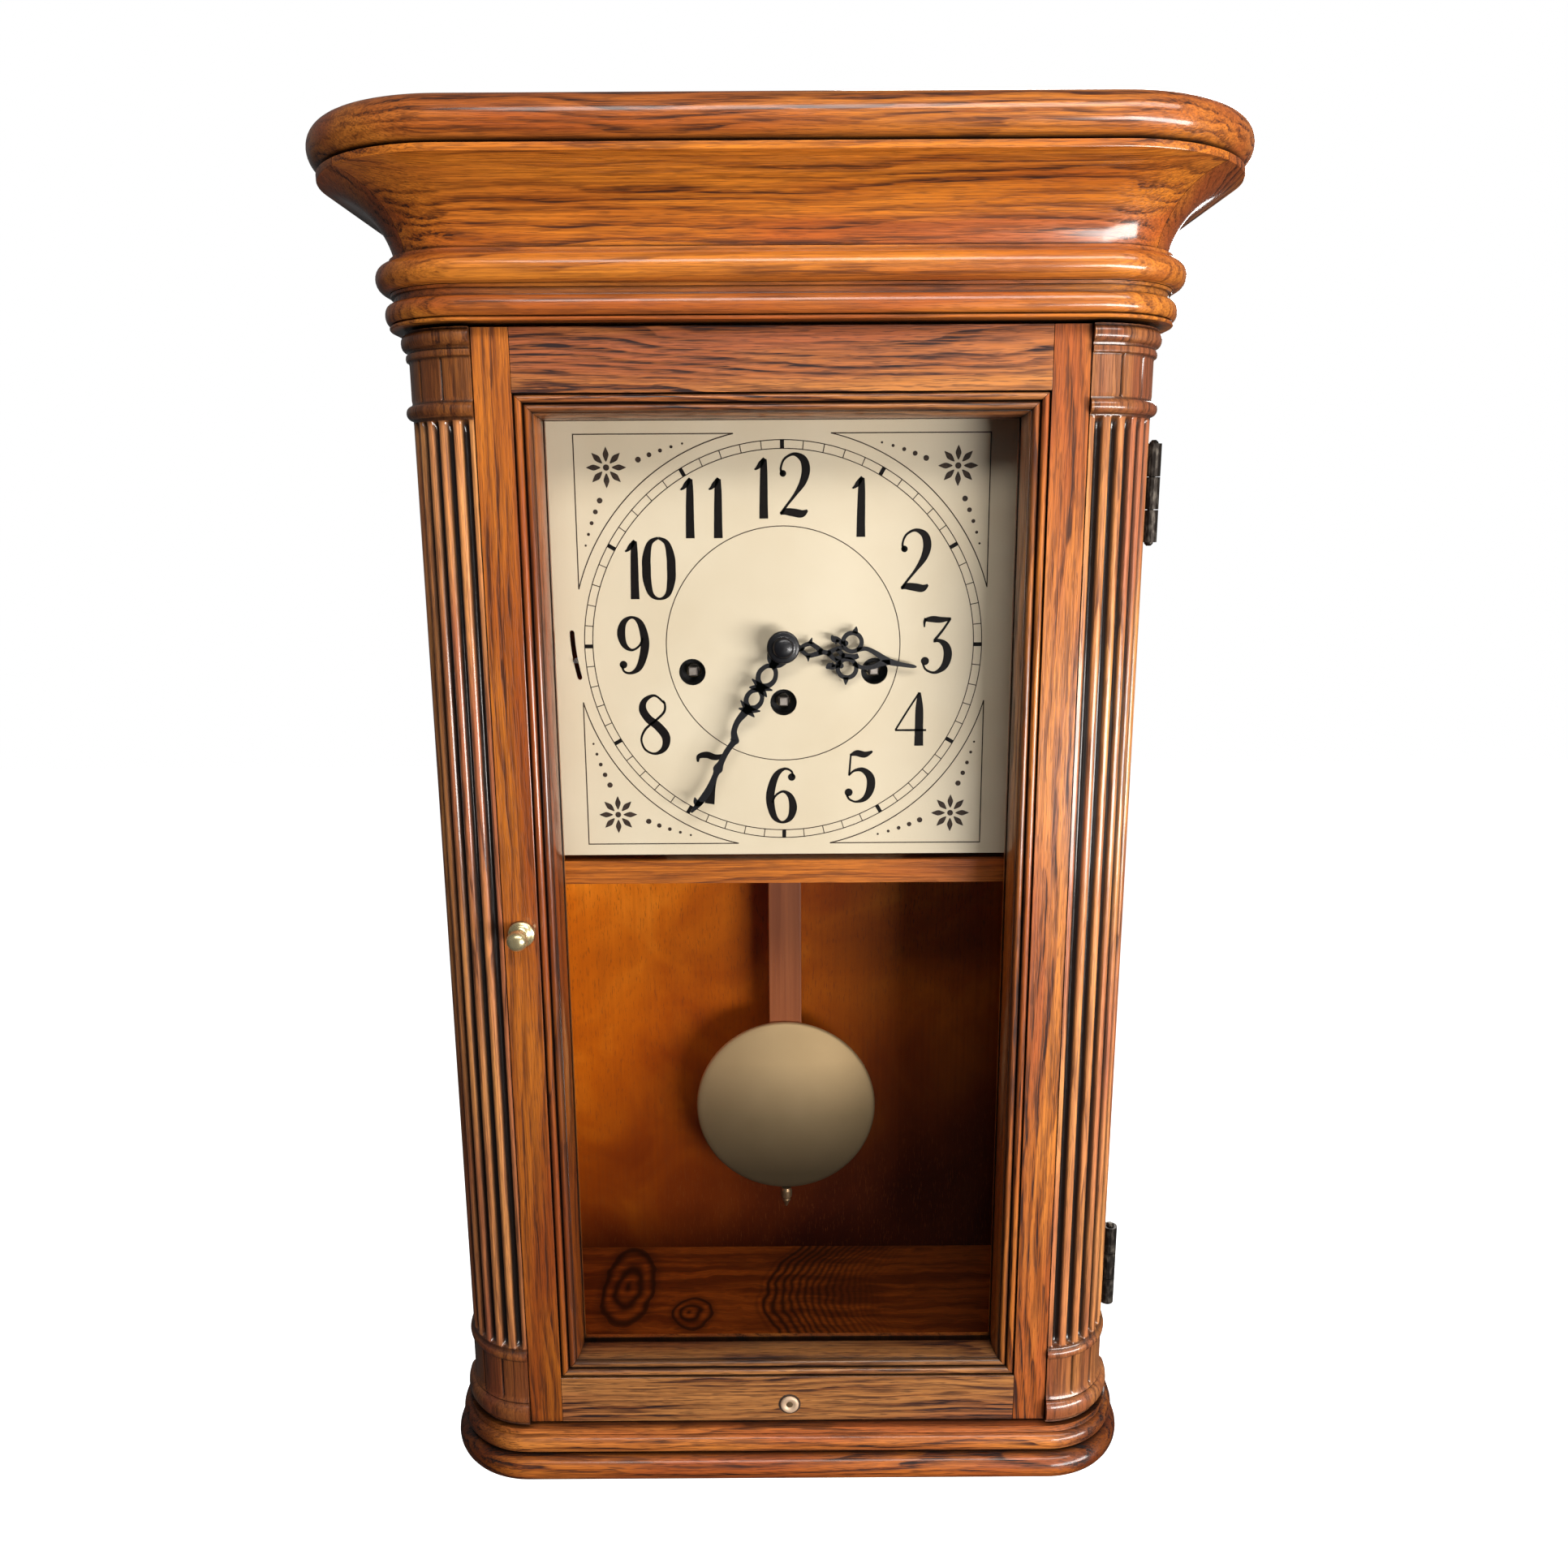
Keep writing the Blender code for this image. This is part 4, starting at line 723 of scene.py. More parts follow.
def door_bar(flat_width, flat_ends, sight_ends, to_point, foot_painted_shade=0.0):
    """A door bar with a moulded inner edge that is mitred at both ends.

    flat_ends are where the flat part stops along the bar, and sight_ends where the
    sight edge stops; to_point maps (across, depth, along) to a point of the door.
    foot_painted_shade is how much painted shade darkens the lower half of an upright bar.
    """
    bar = bmesh.new()
    section = door_section()
    flat_u = MOULDING + flat_width
    rings = []
    for end, outward in ((0, -1), (1, 1)):
        mitre = [(u, v, sight_ends[end] + outward * u) for u, v in section]
        mitre_verts = [bar.verts.new(to_point(*point)) for point in mitre]
        if abs(mitre[0][2] - flat_ends[end]) < 1e-6:
            inner_back = mitre_verts[-1]
            inner_front = mitre_verts[0]
        else:
            inner_back = bar.verts.new(to_point(MOULDING, DOOR_THICKNESS, flat_ends[end]))
            inner_front = bar.verts.new(to_point(MOULDING, 0.0, flat_ends[end]))
            bar.faces.new((mitre_verts[0], mitre_verts[-1], inner_back, inner_front))
        outer_back = bar.verts.new(to_point(flat_u, DOOR_THICKNESS, flat_ends[end]))
        outer_front = bar.verts.new(to_point(flat_u, 0.0, flat_ends[end]))
        bar.faces.new(mitre_verts)
        bar.faces.new((inner_back, outer_back, outer_front, inner_front))
        rings.append((mitre_verts, inner_back, outer_back, outer_front, inner_front))
    start, stop = rings
    for i in range(len(section) - 1):
        bar.faces.new((start[0][i], start[0][i + 1], stop[0][i + 1], stop[0][i]))
    back = [start[0][-1], start[1], start[2], stop[2], stop[1], stop[0][-1]]
    front = [start[0][0], start[4], start[3], stop[3], stop[4], stop[0][0]]
    for corners in (back, front):
        bar.faces.new(list(dict.fromkeys(corners)))
    bar.faces.new((start[2], start[3], stop[3], stop[2]))
    glaze_and_shade = bar.verts.layers.float.new(GLAZE_AND_SHADE_LAYER)
    stain_and_shade = bar.verts.layers.float.new(STAIN_AND_SHADE_LAYER)
    for vert in bar.verts:
        vert[glaze_and_shade] = groove_glaze_and_shade(vert.co.y)
        # Painted shade over the lower half of the stiles.
        vert[stain_and_shade] = foot_painted_shade if vert.co.z < DOOR_MIDDLE_Z else 0.0
    return bar


def make_door_frame(mats):
    """Two stiles that run the full height, with the rails mitred between their mouldings."""
    for side, name in ((-1, "left"), (1, "right")):
        stile = door_bar(
            STILE_OUTER_X - STILE_INNER_X, DOOR_Z, SIGHT_Z,
            lambda u, v, w, s=side: (s * (SIGHT_X + u), v, w), FOOT_PAINTED_SHADE[name],
        )
        piece = add_look("door_stile_" + name, stile, mats["oak_stile_" + name], "door")
        soften(piece, 0.35, 2, 60.0)
    ends = (-STILE_INNER_X + RAIL_GAP, STILE_INNER_X - RAIL_GAP)
    sight = (ends[0] + MOULDING, ends[1] - MOULDING)
    for name, sense, sight_z, width in (("bottom", -1, SIGHT_Z[0], 24.5), ("top", 1, SIGHT_Z[1], 26.0)):
        rail = door_bar(width, ends, sight, lambda u, v, w, s=sense, z=sight_z: (w, v, z + s * u))
        piece = add_look("door_rail_" + name, rail, mats["oak_rail_" + name], "door")
        soften(piece, 0.3, 2, 60.0)


REEDS = 7
REED_PITCH_DEG = 13.0
FIRST_REED_DEG = 6.0
GROOVE_SHARE = 0.24
GROOVE_DEPTH = 2.6
RIDGE_DROP = 0.8
# The reeds' grooves are glazed and painted with shade, fully dark at this depth.
GLAZED_AND_SHADED_DEPTH = 2.4
STAVE_PITCH_DEG = 22.5
STAVE_JOINT_DEPTH = 0.9
STAVE_JOINT_DEG = 1.6
STAVE_JOINT_GLAZE = 0.9
# Darker stain on the turned drums, with painted shade: the left column's drums are painted darker than the
# right's.
DRUM_STAIN_AND_SHADE = {"left": 1.0, "right": 0.65}
COLUMN_TOP_Z = DOOR_Z[1]
# Turned valleys get glaze with painted shade.
VALLEY_RADIUS = 33.0
VALLEY_GLAZE_AND_SHADE = 0.6
SHAFT_RADIUS = 32.4
COLUMN_ROOT_X = CORNER_X - 0.7
COLUMN_STEPS = 168


def reed_depth(degrees):
    """How far the column's surface lies below its ridges at an angle, in the reeded part."""
    turn = (degrees - FIRST_REED_DEG) / REED_PITCH_DEG
    across = abs(turn - round(turn))
    if not -0.5 < turn < REEDS - 0.5:
        return 0.0
    if across < GROOVE_SHARE:
        return RIDGE_DROP + GROOVE_DEPTH * math.sqrt(1.0 - (across / GROOVE_SHARE) ** 2)
    ridge = (across - GROOVE_SHARE) / (0.5 - GROOVE_SHARE)
    return RIDGE_DROP * (1.0 - ridge) ** 2.0


def stave_depth(degrees):
    """Depth of the fine joints between the staves of the drums at an angle."""
    turn = degrees / STAVE_PITCH_DEG
    away = abs(turn - round(turn)) * STAVE_PITCH_DEG
    if round(turn) in (0, 4) or away > STAVE_JOINT_DEG:
        return 0.0
    return STAVE_JOINT_DEPTH * (1.0 - away / STAVE_JOINT_DEG)


def with_shares(rows, reeded=0, staved=0):
    """Rows (radius, z) of a turned profile, with how far they are reeded and staved."""
    return [(radius, z, reeded, staved) for radius, z in rows]


def column_levels():
    """The column's turned profile from its foot up: (radius, z, reed share, stave share)."""
    levels = with_shares([(34.0, DOOR_Z[0])] + half_round(36.4, 34.2, 5.4, 3.0, 10))
    levels += with_shares([(33.8, 40.2), (33.2, 41.4)])
    levels += with_shares([(32.9, 43.0), (32.8, 50.0), (32.8, 62.2)], staved=1)
    levels += with_shares([(32.9, 62.8), (33.8, 63.6), (34.0, 65.0), (33.6, 66.6), (32.6, 67.4)])
    for share, z in ((0.0, 68.2), (0.0, 69.0), (0.35, 69.3), (0.6, 69.8), (0.85, 71.0), (1.0, 73.5)):
        levels += with_shares([(SHAFT_RADIUS, z)], share)
    levels += with_shares([(SHAFT_RADIUS, 73.5 + 43.0 * i) for i in range(1, 10)], 1.0)
    for share, z in ((1.0, 504.0), (0.85, 507.0), (0.6, 508.6), (0.35, 509.2), (0.0, 509.5), (0.0, 510.2)):
        levels += with_shares([(SHAFT_RADIUS, z)], share)
    levels += with_shares(half_round(35.2, 513.6, 2.9, 2.4, 10) + [(32.6, 517.0)])
    levels += with_shares([(32.4, 517.6), (32.6, 519.0), (32.6, 533.4)], staved=1)
    levels += with_shares([(32.8, 534.4), (33.8, 535.0), (34.0, 536.0), (33.8, 537.2), (33.0, 537.8)])
    levels += with_shares([(33.2, 538.6)] + half_round(35.6, 542.2, 3.2, 1.8, 8))
    return levels + with_shares([(34.2, COLUMN_TOP_Z)])


def make_columns(mats):
    """The two quarter columns that form the door's outer corners, each turned in one piece."""
    for side, name in ((-1, "left"), (1, "right")):
        rings = []
        glaze_and_shade_values = []
        drums = []
        for radius, z, reeded, staved in column_levels():
            points = [(COLUMN_ROOT_X, CORNER_Y), (COLUMN_ROOT_X, CORNER_Y - radius)]
            # Glaze with painted shade in the valleys and reed grooves, and darker joints between the staves.
            valley = VALLEY_GLAZE_AND_SHADE if radius <= VALLEY_RADIUS and not reeded and not staved else 0.0
            # Painted shade towards the foot, and the drums' darker stain with painted shade that is heavier
            # on the left.
            painted_foot_shade = FOOT_PAINTED_SHADE[name] * (1.0 - z / COLUMN_TOP_Z)
            drums += [max(painted_foot_shade, DRUM_STAIN_AND_SHADE[name] * (1.0 - reeded))] * (COLUMN_STEPS + 3)
            glaze_and_shade_values += [0.0, 0.0]
            for i in range(COLUMN_STEPS + 1):
                degrees = 90.0 * i / COLUMN_STEPS
                joint = staved * stave_depth(degrees)
                depth = reeded * reed_depth(degrees) + joint
                filled = STAVE_JOINT_GLAZE * (joint / STAVE_JOINT_DEPTH)
                glaze_and_shade_values.append(max(valley, filled, min(1.0, depth / GLAZED_AND_SHADED_DEPTH) ** 1.5))
                angle = math.radians(degrees)
                reach = radius - depth
                points.append((CORNER_X + reach * math.sin(angle), CORNER_Y - reach * math.cos(angle)))
            rings.append([(side * x, y, z) for x, y in points])
        column = ring_solid(rings)
        for layer_name, values in ((GLAZE_AND_SHADE_LAYER, glaze_and_shade_values), (STAIN_AND_SHADE_LAYER, drums)):
            layer = column.verts.layers.float.new(layer_name)
            for vert, value in zip(column.verts, values):
                vert[layer] = value
        add_look("column_" + name, column, mats["oak_column_" + name], "door", 42.0)


KNOB_PLACE = (-120.0, 284.0)
RAIL_ROSETTE_PLACE = (1.0, 37.3)


def make_door_fittings(mats):
    """The turned knob on the left stile and the small rosette in the bottom rail, with a painted shadow ring
    round the rosette.
    """
    profile = [(0.3, -0.3), (6.0, -0.3), (6.1, -0.6), (6.0, -1.0), (5.6, -1.25), (4.9, -1.5), (4.7, -1.9),
               (4.1, -2.1), (3.1, -2.5), (2.6, -3.2), (2.4, -4.2), (2.5, -5.1), (2.9, -5.9), (3.5, -6.6),
               (4.1, -7.2), (4.5, -8.0), (4.7, -9.0), (4.7, -9.8), (4.5, -10.8), (4.1, -11.7), (3.5, -12.4),
               (2.7, -12.9), (1.8, -13.15), (0.9, -13.25), (0.2, -13.3)]
    knob = turned(KNOB_PLACE, profile, 48)
    add_look("door_knob", knob, mats["polished_brass"], "door", 50.0)
    rosette = [(0.1, -0.5), (1.5, -0.5), (1.9, -0.65), (2.5, -1.1), (3.3, -1.3), (4.0, -1.15), (4.5, -0.75),
               (4.6, -0.3), (0.1, -0.3)]
    face = turned(RAIL_ROSETTE_PLACE, rosette, 40)
    add_look("rail_rosette", face, mats["pale_brass"], "door", 50.0)
    centre = [(0.1, -0.56), (1.75, -0.56), (1.9, -0.5), (1.9, -0.35), (0.1, -0.35)]
    middle = turned(RAIL_ROSETTE_PLACE, centre, 32)
    add_piece("rail_rosette_centre", middle, mats["aged_brass"], "door")
    # Painted shadow: a dark ring round the rosette where it sits in shade.
    rim = [(4.7, -0.06), (5.5, -0.06), (5.5, 0.4), (4.7, 0.4)]
    shadow_ring = turned(RAIL_ROSETTE_PLACE, rim, 40, closed=True)
    add_piece("rail_rosette_shadow_rim", shadow_ring, mats["ink_brown"], "door")


# ---------------------------------------------------------------- dial print

PRINT_Y = (DIAL_FACE_Y - PRINT_GAP - PRINT_THICKNESS, DIAL_FACE_Y - PRINT_GAP)
TRACK_OUTER = 92.2
TRACK_INNER = 88.4
BORDER_HALF_WIDTH = 93.9
BORDER_HALF_HEIGHT = 95.0
BORDER_ARC = 97.5
ROSETTE_INSET = 14.5
ROSETTE_PETALS = 8
PETAL_START = 2.6
PETAL_LENGTH = 6.4
PETAL_WIDTH = 2.6
ROSETTE_DOT = 1.4
FIRST_DOT = 29.0
DOT_SPACING = 5.0
DOTS_IN_RUN = 5
LARGEST_DOT = 1.3
SMALLEST_DOT_SHARE = 0.4
INNER_CIRCLE = 54.3
FINE_LINE = 0.42
TICK_WIDTH = 0.4
BLOCK_WIDTH = 1.8
BLOCK_OVERLAP = 0.1
BORDER_LINE = 0.5
NUMERAL_BOLDNESS = 1.12

# Strokes of each numeral in millimetres from its lower left corner: rows of (x, z, width).
# A stroke of one row is a dot, (x, z, radius).
NUMERALS = {
    "0": [
        [(7.4, 27.9, 1.0), (3.6, 25.6, 2.2), (1.9, 19.5, 3.4), (1.7, 14.0, 3.6), (1.9, 8.5, 3.4),
         (3.6, 2.4, 2.2), (7.4, 0.3, 1.0), (11.2, 2.4, 2.2), (12.9, 8.5, 3.4), (13.1, 14.0, 3.6),
         (12.9, 19.5, 3.4), (11.2, 25.6, 2.2), (7.4, 27.9, 1.0)],
    ],
    "1": [
        [(4.1, 0.0, 3.6), (4.1, 6.0, 3.4), (4.2, 14.0, 3.2), (4.3, 21.0, 2.9), (4.4, 26.2, 2.2)],
        [(0.1, 21.6, 0.6), (1.4, 22.4, 1.3), (2.8, 24.0, 2.0), (4.6, 26.6, 1.2)],
    ],
    "2": [
        [(2.6, 18.6, 1.4), (1.6, 21.4, 0.9), (3.2, 25.6, 0.9), (7.4, 27.7, 1.3), (11.6, 25.6, 2.9),
         (12.9, 21.0, 3.4), (11.6, 15.6, 2.8), (8.0, 10.0, 1.4), (4.2, 5.2, 1.0), (1.6, 1.6, 1.2)],
        [(1.2, 1.5, 1.0), (3.6, 2.4, 2.6), (7.4, 2.0, 3.2), (11.0, 1.5, 3.0), (13.6, 3.0, 0.9)],
        [(2.5, 19.3, 1.5)],
    ],
    "3": [
        [(1.9, 21.6, 0.6), (1.9, 24.0, 1.1), (2.6, 25.6, 1.6)],
        [(1.9, 25.0, 1.2), (5.5, 25.3, 2.6), (9.5, 25.0, 2.4), (14.2, 25.5, 1.0)],
        [(13.8, 25.3, 0.9), (10.4, 20.2, 1.0), (6.6, 15.4, 1.1)],
        [(6.2, 15.0, 1.0), (9.0, 15.3, 1.6), (12.0, 13.0, 3.0), (13.0, 8.6, 3.5), (11.4, 3.4, 2.8),
         (7.2, 0.5, 1.2), (3.0, 1.8, 0.9), (1.5, 4.6, 0.9)],
        [(2.4, 5.9, 1.9)],
    ],
    "4": [
        [(11.4, 0.0, 3.8), (11.4, 8.0, 3.5), (11.4, 18.0, 3.2), (11.3, 25.4, 1.2)],
        [(11.2, 25.2, 0.8), (5.6, 16.4, 0.8), (0.3, 7.6, 0.8)],
        [(0.1, 7.5, 0.8), (7.5, 7.5, 0.9), (14.8, 7.5, 0.8)],
    ],
    "5": [
        [(3.4, 23.2, 1.0), (6.2, 24.0, 2.6), (10.0, 23.3, 2.6), (13.6, 24.8, 0.8)],
        [(3.4, 23.8, 0.8), (3.0, 18.5, 0.8), (2.6, 13.2, 0.9)],
        [(2.4, 13.2, 0.7), (5.2, 15.6, 1.1), (9.2, 15.8, 2.2), (12.6, 12.4, 3.4), (12.8, 7.0, 3.5),
         (10.4, 2.2, 2.4), (6.2, 0.4, 1.0), (2.8, 1.6, 0.9), (1.5, 4.0, 0.9)],
        [(2.4, 5.0, 1.9)],
    ],
    "6": [
        [(12.9, 22.8, 0.9), (11.8, 25.6, 0.9), (8.6, 26.6, 1.2), (4.9, 23.8, 2.6), (2.5, 17.6, 3.4),
         (1.8, 10.8, 3.5), (3.6, 3.4, 2.6), (7.3, 0.5, 1.1), (11.2, 2.6, 2.4), (12.7, 7.8, 3.4),
         (11.4, 13.2, 2.4), (8.0, 15.6, 1.1), (4.4, 13.6, 0.9), (2.8, 10.0, 0.8)],
        [(12.1, 22.6, 1.8)],
    ],
    "7": [
        [(0.8, 20.4, 0.8), (1.4, 23.0, 2.0), (5.0, 23.8, 2.8), (9.0, 22.6, 2.6), (12.4, 23.2, 1.8),
         (14.6, 24.8, 0.8)],
        [(14.2, 24.6, 0.8), (10.6, 17.6, 1.5), (7.6, 9.6, 2.9), (6.0, 0.0, 4.2)],
    ],
    "8": [
        [(12.9, 24.6, 0.9), (8.4, 28.2, 1.0), (3.8, 26.0, 2.2), (2.6, 21.8, 3.2), (5.2, 17.2, 3.4),
         (9.6, 13.6, 3.6), (13.2, 8.6, 3.6), (12.4, 3.2, 2.6), (8.0, 0.5, 1.1), (3.4, 2.4, 0.9),
         (1.6, 7.4, 0.9), (3.8, 12.4, 1.0), (8.6, 16.4, 1.0), (12.6, 20.4, 1.0), (13.1, 24.0, 0.9),
         (12.2, 25.8, 0.9)],
    ],
    "9": [
        [(2.1, 3.8, 0.9), (3.2, 1.0, 0.9), (6.4, 0.3, 1.2), (10.1, 2.8, 2.6), (12.5, 9.0, 3.4),
         (13.2, 15.8, 3.5), (11.4, 23.2, 2.6), (7.7, 26.1, 1.1), (3.8, 24.0, 2.4), (2.3, 18.8, 3.4),
         (3.6, 13.4, 2.4), (7.0, 11.0, 1.1), (10.6, 13.0, 0.9), (12.2, 16.6, 0.8)],
        [(2.9, 4.2, 1.8)],
    ],
}

# Where each hour's numerals stand: hour, then rows of (digit, left edge x, bottom z) from the dial's centre.
HOURS = {
    12: [("1", -12.6, 57.6), ("2", -2.2, 58.2)],
    1: [("1", 31.6, 49.2)],
    2: [("2", 53.2, 24.4)],
    3: [("3", 63.6, -13.6)],
    4: [("4", 52.4, -47.8)],
    5: [("5", 28.4, -75.2)],
    6: [("6", -8.4, -85.2)],
    7: [("7", -41.6, -75.4)],
    8: [("8", -68.8, -51.4)],
    9: [("9", -77.4, -12.8)],
    10: [("1", -72.2, 21.6), ("0", -64.2, 21.4)],
    11: [("1", -46.2, 49.0), ("1", -33.4, 49.0)],
}


def make_numerals(mats):
    """The twelve hours, printed upright as old-style numerals."""
    for hour, digits in HOURS.items():
        solid = bmesh.new()
        for digit, left, bottom in digits:
            for stroke in NUMERALS[digit]:
                rows = [(left + x, CENTRE_Z + bottom + z, width) for x, z, width in stroke]
                if len(rows) == 1:
                    (x, z, radius), = rows
                    add_disc(solid, (x, z), radius, PRINT_Y)
                else:
                    add_stroke(solid, bolder(rows, NUMERAL_BOLDNESS), PRINT_Y)
        add_piece("numeral_%02d" % hour, solid, mats["ink_black"], "case")


def add_radial_mark(solid, angle, inner, outer, width):
    """A short straight line of the minute track, along a radius of the dial."""
    cos, sin = math.cos(angle), math.sin(angle)
    add_ribbon(solid, [(radius * cos, CENTRE_Z + radius * sin, width) for radius in (inner, outer)], PRINT_Y)


def make_minute_track(mats):
    """Two circles with a tick for each minute and a block for each five, and a fine circle inside."""
    solid = bmesh.new()
    for radius, segments in ((TRACK_OUTER, 180), (TRACK_INNER, 180), (INNER_CIRCLE, 120)):
        add_band(solid, (0.0, CENTRE_Z), radius, FINE_LINE, PRINT_Y, segments=segments)
    for minute in range(60):
        if minute % 5:
            add_radial_mark(solid, TAU * minute / 60, TRACK_INNER, TRACK_OUTER, TICK_WIDTH)
    add_piece("dial_minute_track", solid, mats["ink_brown"], "case")
    blocks = bmesh.new()
    for hour in range(12):
        inner, outer = TRACK_INNER - BLOCK_OVERLAP, TRACK_OUTER + BLOCK_OVERLAP
        add_radial_mark(blocks, TAU * hour / 12, inner, outer, BLOCK_WIDTH)
    add_piece("dial_hour_blocks", blocks, mats["ink_black"], "case")


def leaf(start, direction_deg, length, width):
    """Rows of a leaf-shaped stroke from a point."""
    angle = math.radians(direction_deg)
    rows = []
    for share, fat in ((0.0, 0.15), (0.25, 0.7), (0.5, 1.0), (0.75, 0.6), (1.0, 0.05)):
        rows.append((start[0] + length * share * math.cos(angle), start[1] + length * share * math.sin(angle),
                     width * fat))
    return rows


def arc_gap(along, half_along, half_across):
    """How far the border arc lies inward from a border edge, at a distance along it from the corner."""
    return half_across - math.sqrt(BORDER_ARC ** 2 - (half_along - along) ** 2)


def add_rosette(solid, corner, sx, sz):
    """A plain rosette of equal petals on the corner's diagonal, round a dot."""
    heart = (corner[0] - sx * ROSETTE_INSET, corner[1] - sz * ROSETTE_INSET)
    for i in range(ROSETTE_PETALS):
        direction = 360.0 * i / ROSETTE_PETALS
        angle = math.radians(direction)
        start = (heart[0] + PETAL_START * math.cos(angle), heart[1] + PETAL_START * math.sin(angle))
        add_stroke(solid, leaf(start, direction, PETAL_LENGTH, PETAL_WIDTH), PRINT_Y, per_span=4)
    add_disc(solid, heart, ROSETTE_DOT, PRINT_Y, 16)


def add_dot_runs(solid, corner, sx, sz):
    """A run of shrinking dots along each edge, midway between the border line and the border arc."""
    for i in range(DOTS_IN_RUN):
        along = FIRST_DOT + i * DOT_SPACING
        radius = LARGEST_DOT * (1.0 - (1.0 - SMALLEST_DOT_SHARE) * i / (DOTS_IN_RUN - 1))
        down = arc_gap(along, BORDER_HALF_WIDTH, BORDER_HALF_HEIGHT) / 2
        add_disc(solid, (corner[0] - sx * along, corner[1] - sz * down), radius, PRINT_Y, 12)
        inward = arc_gap(along, BORDER_HALF_HEIGHT, BORDER_HALF_WIDTH) / 2
        add_disc(solid, (corner[0] - sx * inward, corner[1] - sz * along), radius, PRINT_Y, 12)


def make_spandrels(mats):
    """Plain corner ornaments between the square border and the arc round the minute track."""
    top_reach = math.sqrt(BORDER_ARC ** 2 - BORDER_HALF_HEIGHT ** 2)
    side_reach = math.sqrt(BORDER_ARC ** 2 - BORDER_HALF_WIDTH ** 2)
    corners = ((-1, 1, "upper_left"), (1, 1, "upper_right"), (-1, -1, "lower_left"), (1, -1, "lower_right"))
    for sx, sz, name in corners:
        solid = bmesh.new()
        corner = (sx * BORDER_HALF_WIDTH, CENTRE_Z + sz * BORDER_HALF_HEIGHT)
        line = BORDER_LINE
        across = [(sx * top_reach, corner[1], line), (corner[0] + sx * line / 2, corner[1], line)]
        add_ribbon(solid, across, PRINT_Y)
        down = [(corner[0], corner[1] + sz * line / 2, line), (corner[0], CENTRE_Z + sz * side_reach, line)]
        add_ribbon(solid, down, PRINT_Y)
        first = math.degrees(math.atan2(sz * side_reach, sx * BORDER_HALF_WIDTH))
        last = math.degrees(math.atan2(sz * BORDER_HALF_HEIGHT, sx * top_reach))
        add_band(solid, (0.0, CENTRE_Z), BORDER_ARC, line, PRINT_Y, first, last, segments=48)
        add_rosette(solid, corner, sx, sz)
        add_dot_runs(solid, corner, sx, sz)
        add_piece("dial_spandrel_" + name, solid, mats["ink_brown"], "case")


def make_winding_shade_cups(mats):
    """A black cup behind each winding hole, open in the middle for the arbor: a dark piece that paints the
    shade inside the hole.
    """
    for name in ("time", "chime", "strike"):
        low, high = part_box(name + "_winding_arbor")
        centre = ((low.x + high.x) / 2 / MM, (low.z + high.z) / 2 / MM)
        # Painted shade: the cup is black so the hole reads as deep shade.
        profile = [(3.6, 48.6), (7.0, 48.6), (7.0, 40.4), (6.3, 40.4), (6.1, 40.8), (5.8, 47.4), (3.6, 47.6)]
        add_piece(name + "_winding_shade_cup", turned(centre, profile, 40, closed=True), mats["painted_shade_black"], "case")


# ---------------------------------------------------------------- hands

MINUTE_HAND_Y = (30.0, 31.2)
HOUR_HAND_Y = (34.4, 35.6)
HAND_BOLDNESS = 1.2
MINUTE_HUB_RADIUS = 5.6
HOUR_HUB_RADIUS = 4.3
HOUR_HUB_WIDTH = 2.6
HOUR_RINGS = ((31.2, 6.8), (30.8, -5.5))
HOUR_RING_RADIUS = 4.3
HOUR_RING_WIDTH = 2.0
MINUTE_HAND_DEG = 209.6
HOUR_HAND_DEG = 99.3


def oriented(direction_deg, rows):
    """Rows of (along, across, width) turned to a hand's direction, clockwise from twelve."""
    angle = math.radians(90.0 - direction_deg)
    cos, sin = math.cos(angle), math.sin(angle)
    return [(a * cos - b * sin, CENTRE_Z + a * sin + b * cos, width) for a, b, width in rows]


def mirrored(rows):
    """A stroke on the other side of the hand's middle line."""
    return [(along, -across, width) for along, across, width in rows]


def crossbar(half, middle):
    """A stroke right across the hand, from one half of its rows and its middle row."""
    return half + [middle] + mirrored(reversed(half))


def minute_hand_strokes():
    """Strokes of the minute hand as rows of (along, across, width), from the hub out."""
    first_loop = [(9.8, 0.0, 1.9), (11.6, 2.6, 1.7), (15.2, 3.9, 1.8), (18.6, 2.8, 2.0), (20.8, 0.0, 2.2)]
    second_loop = [(22.4, 0.0, 1.9), (24.6, 2.6, 1.7), (27.6, 3.5, 1.8), (30.6, 2.5, 2.0), (32.4, 0.0, 2.2)]
    return [
        crossbar([(5.8, -4.8, 0.5), (8.0, -2.6, 1.9)], (8.8, 0.0, 2.6)),
        [(3.0, 0.0, 5.0), (7.0, 0.0, 3.6), (11.0, 0.0, 2.4)],
        first_loop,
        mirrored(first_loop),
        crossbar([(19.8, 5.4, 0.4), (20.4, 2.8, 1.8)], (21.0, 0.0, 3.2)),
        crossbar([(23.8, 4.6, 0.4), (22.8, 2.6, 1.9)], (22.0, 0.0, 2.8)),
        second_loop,
        mirrored(second_loop),
        crossbar([(31.0, 5.2, 0.4), (32.2, 2.6, 1.8)], (32.8, 0.0, 3.0)),
        crossbar([(34.8, 4.2, 0.4), (34.2, 2.2, 1.6)], (33.8, 0.0, 2.6)),
        [(31.4, 0.0, 3.2), (34.9, -0.7, 3.0), (40.4, -1.6, 2.3), (45.1, -0.9, 2.3), (48.0, 1.0, 2.9),
         (49.0, 1.5, 3.6), (50.4, 1.4, 2.4), (55.3, 0.8, 2.2), (61.0, 1.0, 2.4), (64.6, 1.2, 3.8),
         (67.0, 1.5, 2.4), (72.0, 2.0, 2.4), (77.0, 2.2, 2.8), (83.3, 1.4, 2.4), (89.0, 0.2, 0.8)],
        [(82.0, 3.0, 0.4), (83.2, 1.8, 1.8), (83.6, 0.6, 2.6), (83.2, -0.6, 1.8), (82.0, -1.8, 0.4)],
    ]


